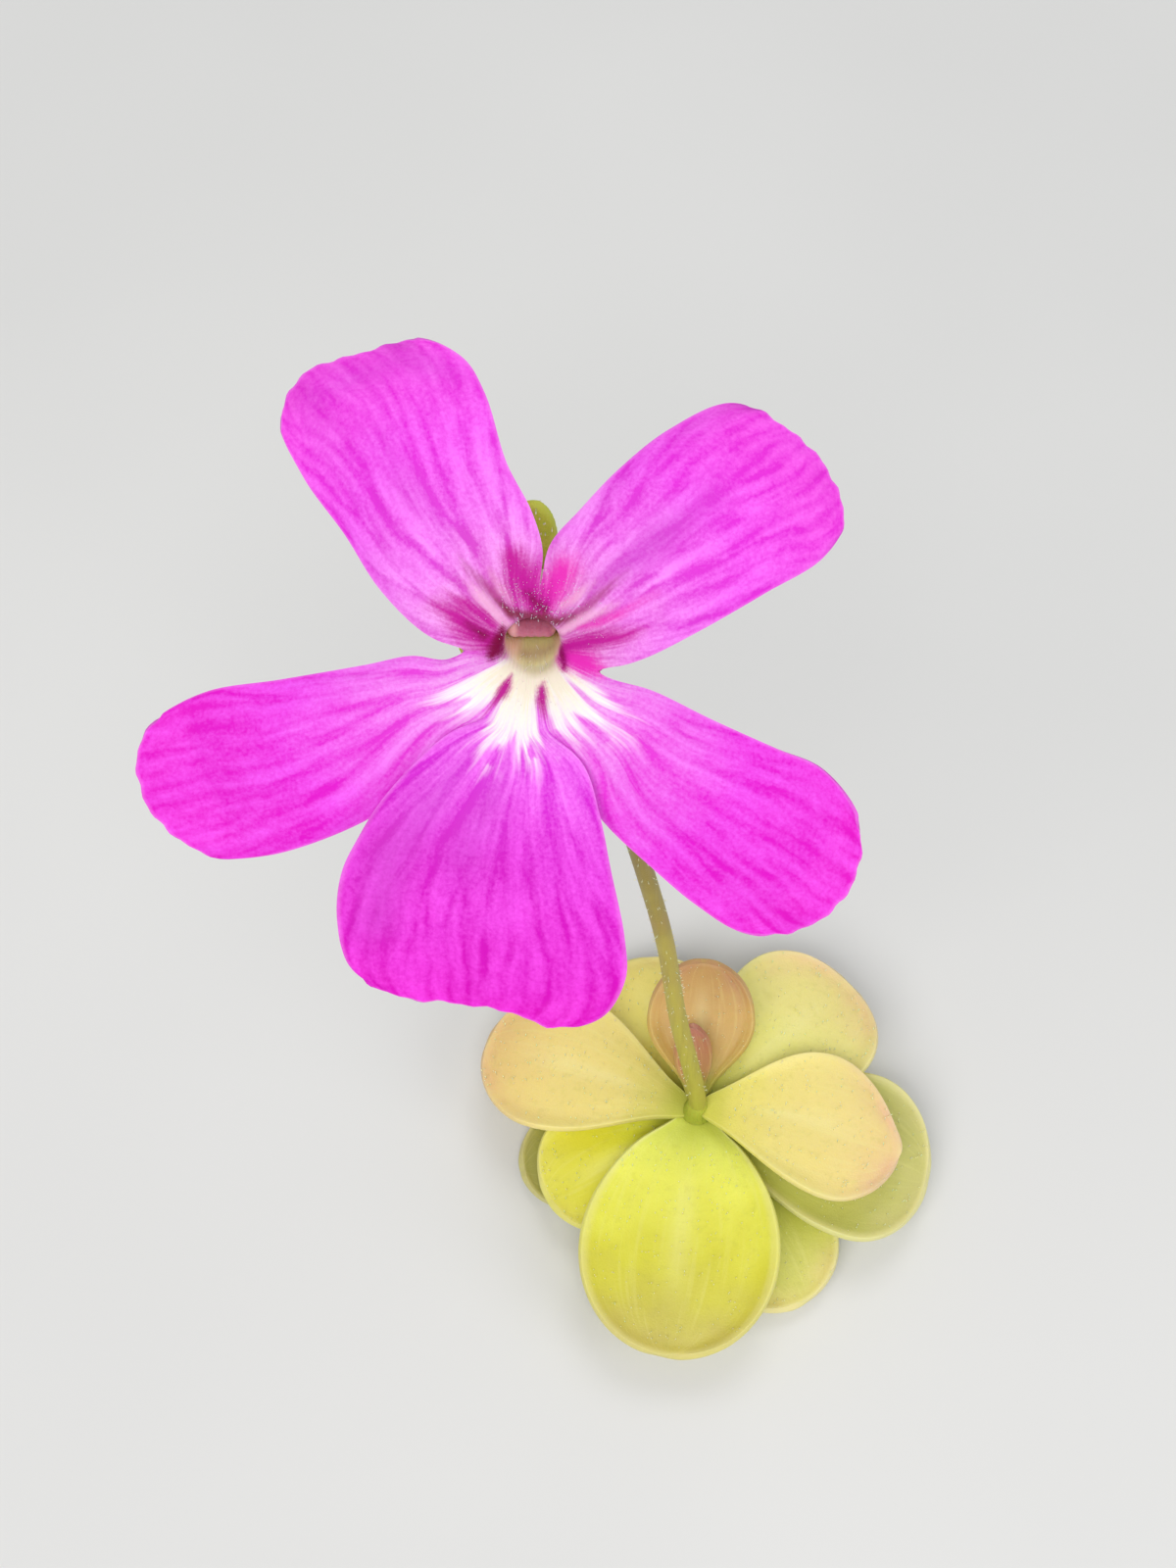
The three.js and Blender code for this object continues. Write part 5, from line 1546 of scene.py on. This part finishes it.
def stigma_finish():
    skin = Skin("stigma_skin", glow=0.3, glow_depth=0.3, specular_ior_level=0.35)
    place = skin.place()
    grain = skin.noise(place, 8.0, 3, 0.6)
    x, y, z = skin.split(place)
    # Green ovary, pink style, and a flap with painted shadow from the roof, darkest at its top where it meets
    # the roof.
    body = skin.ramp((z - PISTIL_FADE[0]) / PISTIL_FADE[1] + (grain - 0.5) * 0.08, [
        (0.0, "a4b460"), (0.4, "b0b070"), (0.55, "c890a0"), (0.755, "f2ccc8"), (0.79, "d890a0"),
        (0.88, "c0708a"), (0.97, "984460")])
    body = skin.over(body, skin.step(abs(x - FLAP_MIDDLE), 0.50, 0.78) * 0.85, "e6aeae")
    return skin.finished(body, 0.5 + grain * 0.2, grain, 0.04)


def pistil():
    parts = [ball("ovary", OVARY_RADIUS - PISTIL_INSET, OVARY_PLACE),
             swept("style", Line(STYLE_POINTS), lambda s: STYLE_RADIUS - PISTIL_INSET, STYLE_STEPS)]
    squash = (FLAP["width"] * FLAP_BALL, FLAP["height"] * FLAP_TALL, FLAP["depth"])
    for x in FLAP_SPREAD:
        parts.append(ball("flap", 0.5, (x, FLAP["y"] + FLAP_SAG, FLAP["z"]), squash))
    piece = grown(joined("pistil_body", parts), *PISTIL_FUSING)
    placed(piece, AT_TUBE_END)
    dressed(piece, materials["stigma"], "stigma_pink", "pistil")


FILAMENT_INSET = 0.015            # keeps the filament within the CAD's
FILAMENT_STEPS = 16
SAC_SPREAD = 0.09                 # how far the anther's two sacs stand to each side
SAC_INSET = 0.06
SAC_SQUASH = (0.9, 1, 1.1)
STAMEN_FUSING = (0.035, 2)


def stamen_finish():
    skin = Skin("stamen_skin", glow=0.3, glow_depth=0.3, specular_ior_level=0.3)
    grain = skin.noise(skin.place(), 9.0, 3, 0.6)
    return skin.finished(skin.ramp(grain, [(0.3, "e4dfb4"), (0.8, "f6f3d6")]), 0.5 + grain * 0.2, grain, 0.04)


def stamen(name, side, node):
    points = [(side * x, y, z) for x, y, z in STAMEN_POINTS]
    parts = [swept("filament", Line(points), lambda s: STAMEN_RADIUS - FILAMENT_INSET, FILAMENT_STEPS)]
    x, y, z = points[-1]
    for offset in (-SAC_SPREAD, SAC_SPREAD):
        parts.append(ball("sac", ANTHER_RADIUS - SAC_INSET, (x + offset, y, z), SAC_SQUASH))
    piece = grown(joined(name, parts), *STAMEN_FUSING)
    placed(piece, AT_TUBE_END)
    dressed(piece, materials["stamen"], "stamen_cream", node)


# ---------------------------------------------------------------- hairs in the throat

# From and to along x, from and to along y, how many, height, width and kind, in the flower's face.
HAIR_BEDS = [
    (-1.1, 1.7, 1.25, 1.80, 60, (0.08, 0.18), 0.028, "gland"),
    (-1.2, 0.4, 1.8, 3.4, 90, (0.04, 0.08), 0.024, "gland"),
    (0.3, 1.6, 1.7, 3.0, 56, (0.04, 0.08), 0.024, "gland"),
    (-2.2, -1.0, 0.5, 2.4, 26, (0.04, 0.08), 0.024, "gland"),
    (1.1, 2.4, 0.5, 1.9, 30, (0.04, 0.08), 0.024, "gland"),
    (-0.6, 0.5, -0.6, 0.4, 14, (0.2, 0.4), 0.022, "hair"),
    (-1.2, 0.9, -1.9, -0.6, 20, (0.10, 0.2), 0.022, "hair"),
]

HAIR_DEPTH = -2.6                 # none stands deeper in the throat than this,
HAIR_FACING = 0.05                # nor where the wall hardly faces the front
HAIR_SWAY = (-0.4, 0.4)
HAIR_LIFT = 0.2                   # how much they turn to the front
HAIR_STRAY = (-0.07, 0.07)
HAIR_SUNK = 0.02


def front_spots(piece):
    """Points and normals of the corolla's inner face, in the flower's own frame."""
    back = FLOWER.inverted()
    turn = back.to_3x3()
    return [(back @ (face.center / MM), turn @ face.normal)
            for face in piece.data.polygons if face.material_index in (0, THROAT_SKIN)]


def throat_hairs(piece, gland, hair, rng):
    spots = [spot for spot in front_spots(piece) if spot[0].z > HAIR_DEPTH and spot[1].z > HAIR_FACING]
    beds = {"gland": [], "hair": []}
    for x0, x1, y0, y1, count, height, width, kind in HAIR_BEDS:
        bed = [spot for spot in spots if x0 < spot[0].x < x1 and y0 < spot[0].y < y1]
        for _ in range(count if bed else 0):
            place, normal = rng.choice(bed)
            sway = Vector((rng.uniform(*HAIR_SWAY), rng.uniform(*HAIR_SWAY), HAIR_LIFT))
            stray = Vector((rng.uniform(*HAIR_STRAY), rng.uniform(*HAIR_STRAY), 0))
            foot = FLOWER @ (place + stray - normal * HAIR_SUNK)
            beds[kind].append((foot, FLOWER.to_3x3() @ (normal + sway), rng.uniform(*height), width))
    for name, shape, kind in (("throat_glands", gland, "gland"), ("throat_hairs", hair, "hair")):
        dressed(planted(name, shape, beds[kind]), materials["pearl"], "petal_magenta")


# ---------------------------------------------------------------- the plant

SEED = 7

studio()
materials = {
    "crown": crown_finish(), "stalk": stalk_finish(), "sepal": sepal_finish(),
    "petal_inner": petal_finish("petal_inner_skin", True, PETAL_GLOW),
    "petal_outer": petal_finish("petal_outer_skin", False, PETAL_GLOW),
    "throat_inner": petal_finish("throat_inner_skin", True, THROAT_GLOW),
    "throat_outer": petal_finish("throat_outer_skin", False, THROAT_GLOW),
    "spur": spur_finish(), "stigma": stigma_finish(), "stamen": stamen_finish(),
    "dew": dew_finish("dew_skin", "fcf9c0"), "pearl": dew_finish("pearl_skin", "fae4f4"),
}
rng = random.Random(SEED)
gland = gland_shape()
hair = hair_shape()
crown()
leaves = {number: leaf(number, *row) for number, row in enumerate(LEAVES, 1)}
leaf_glands(leaves, gland, rng)
scape(gland, rng)
flower = corolla()
calyx(gland, rng)
pistil()
stamen("stamen_of_left", -1, "stamen_left")
stamen("stamen_of_right", 1, "stamen_right")
throat_hairs(flower, gland, hair, rng)
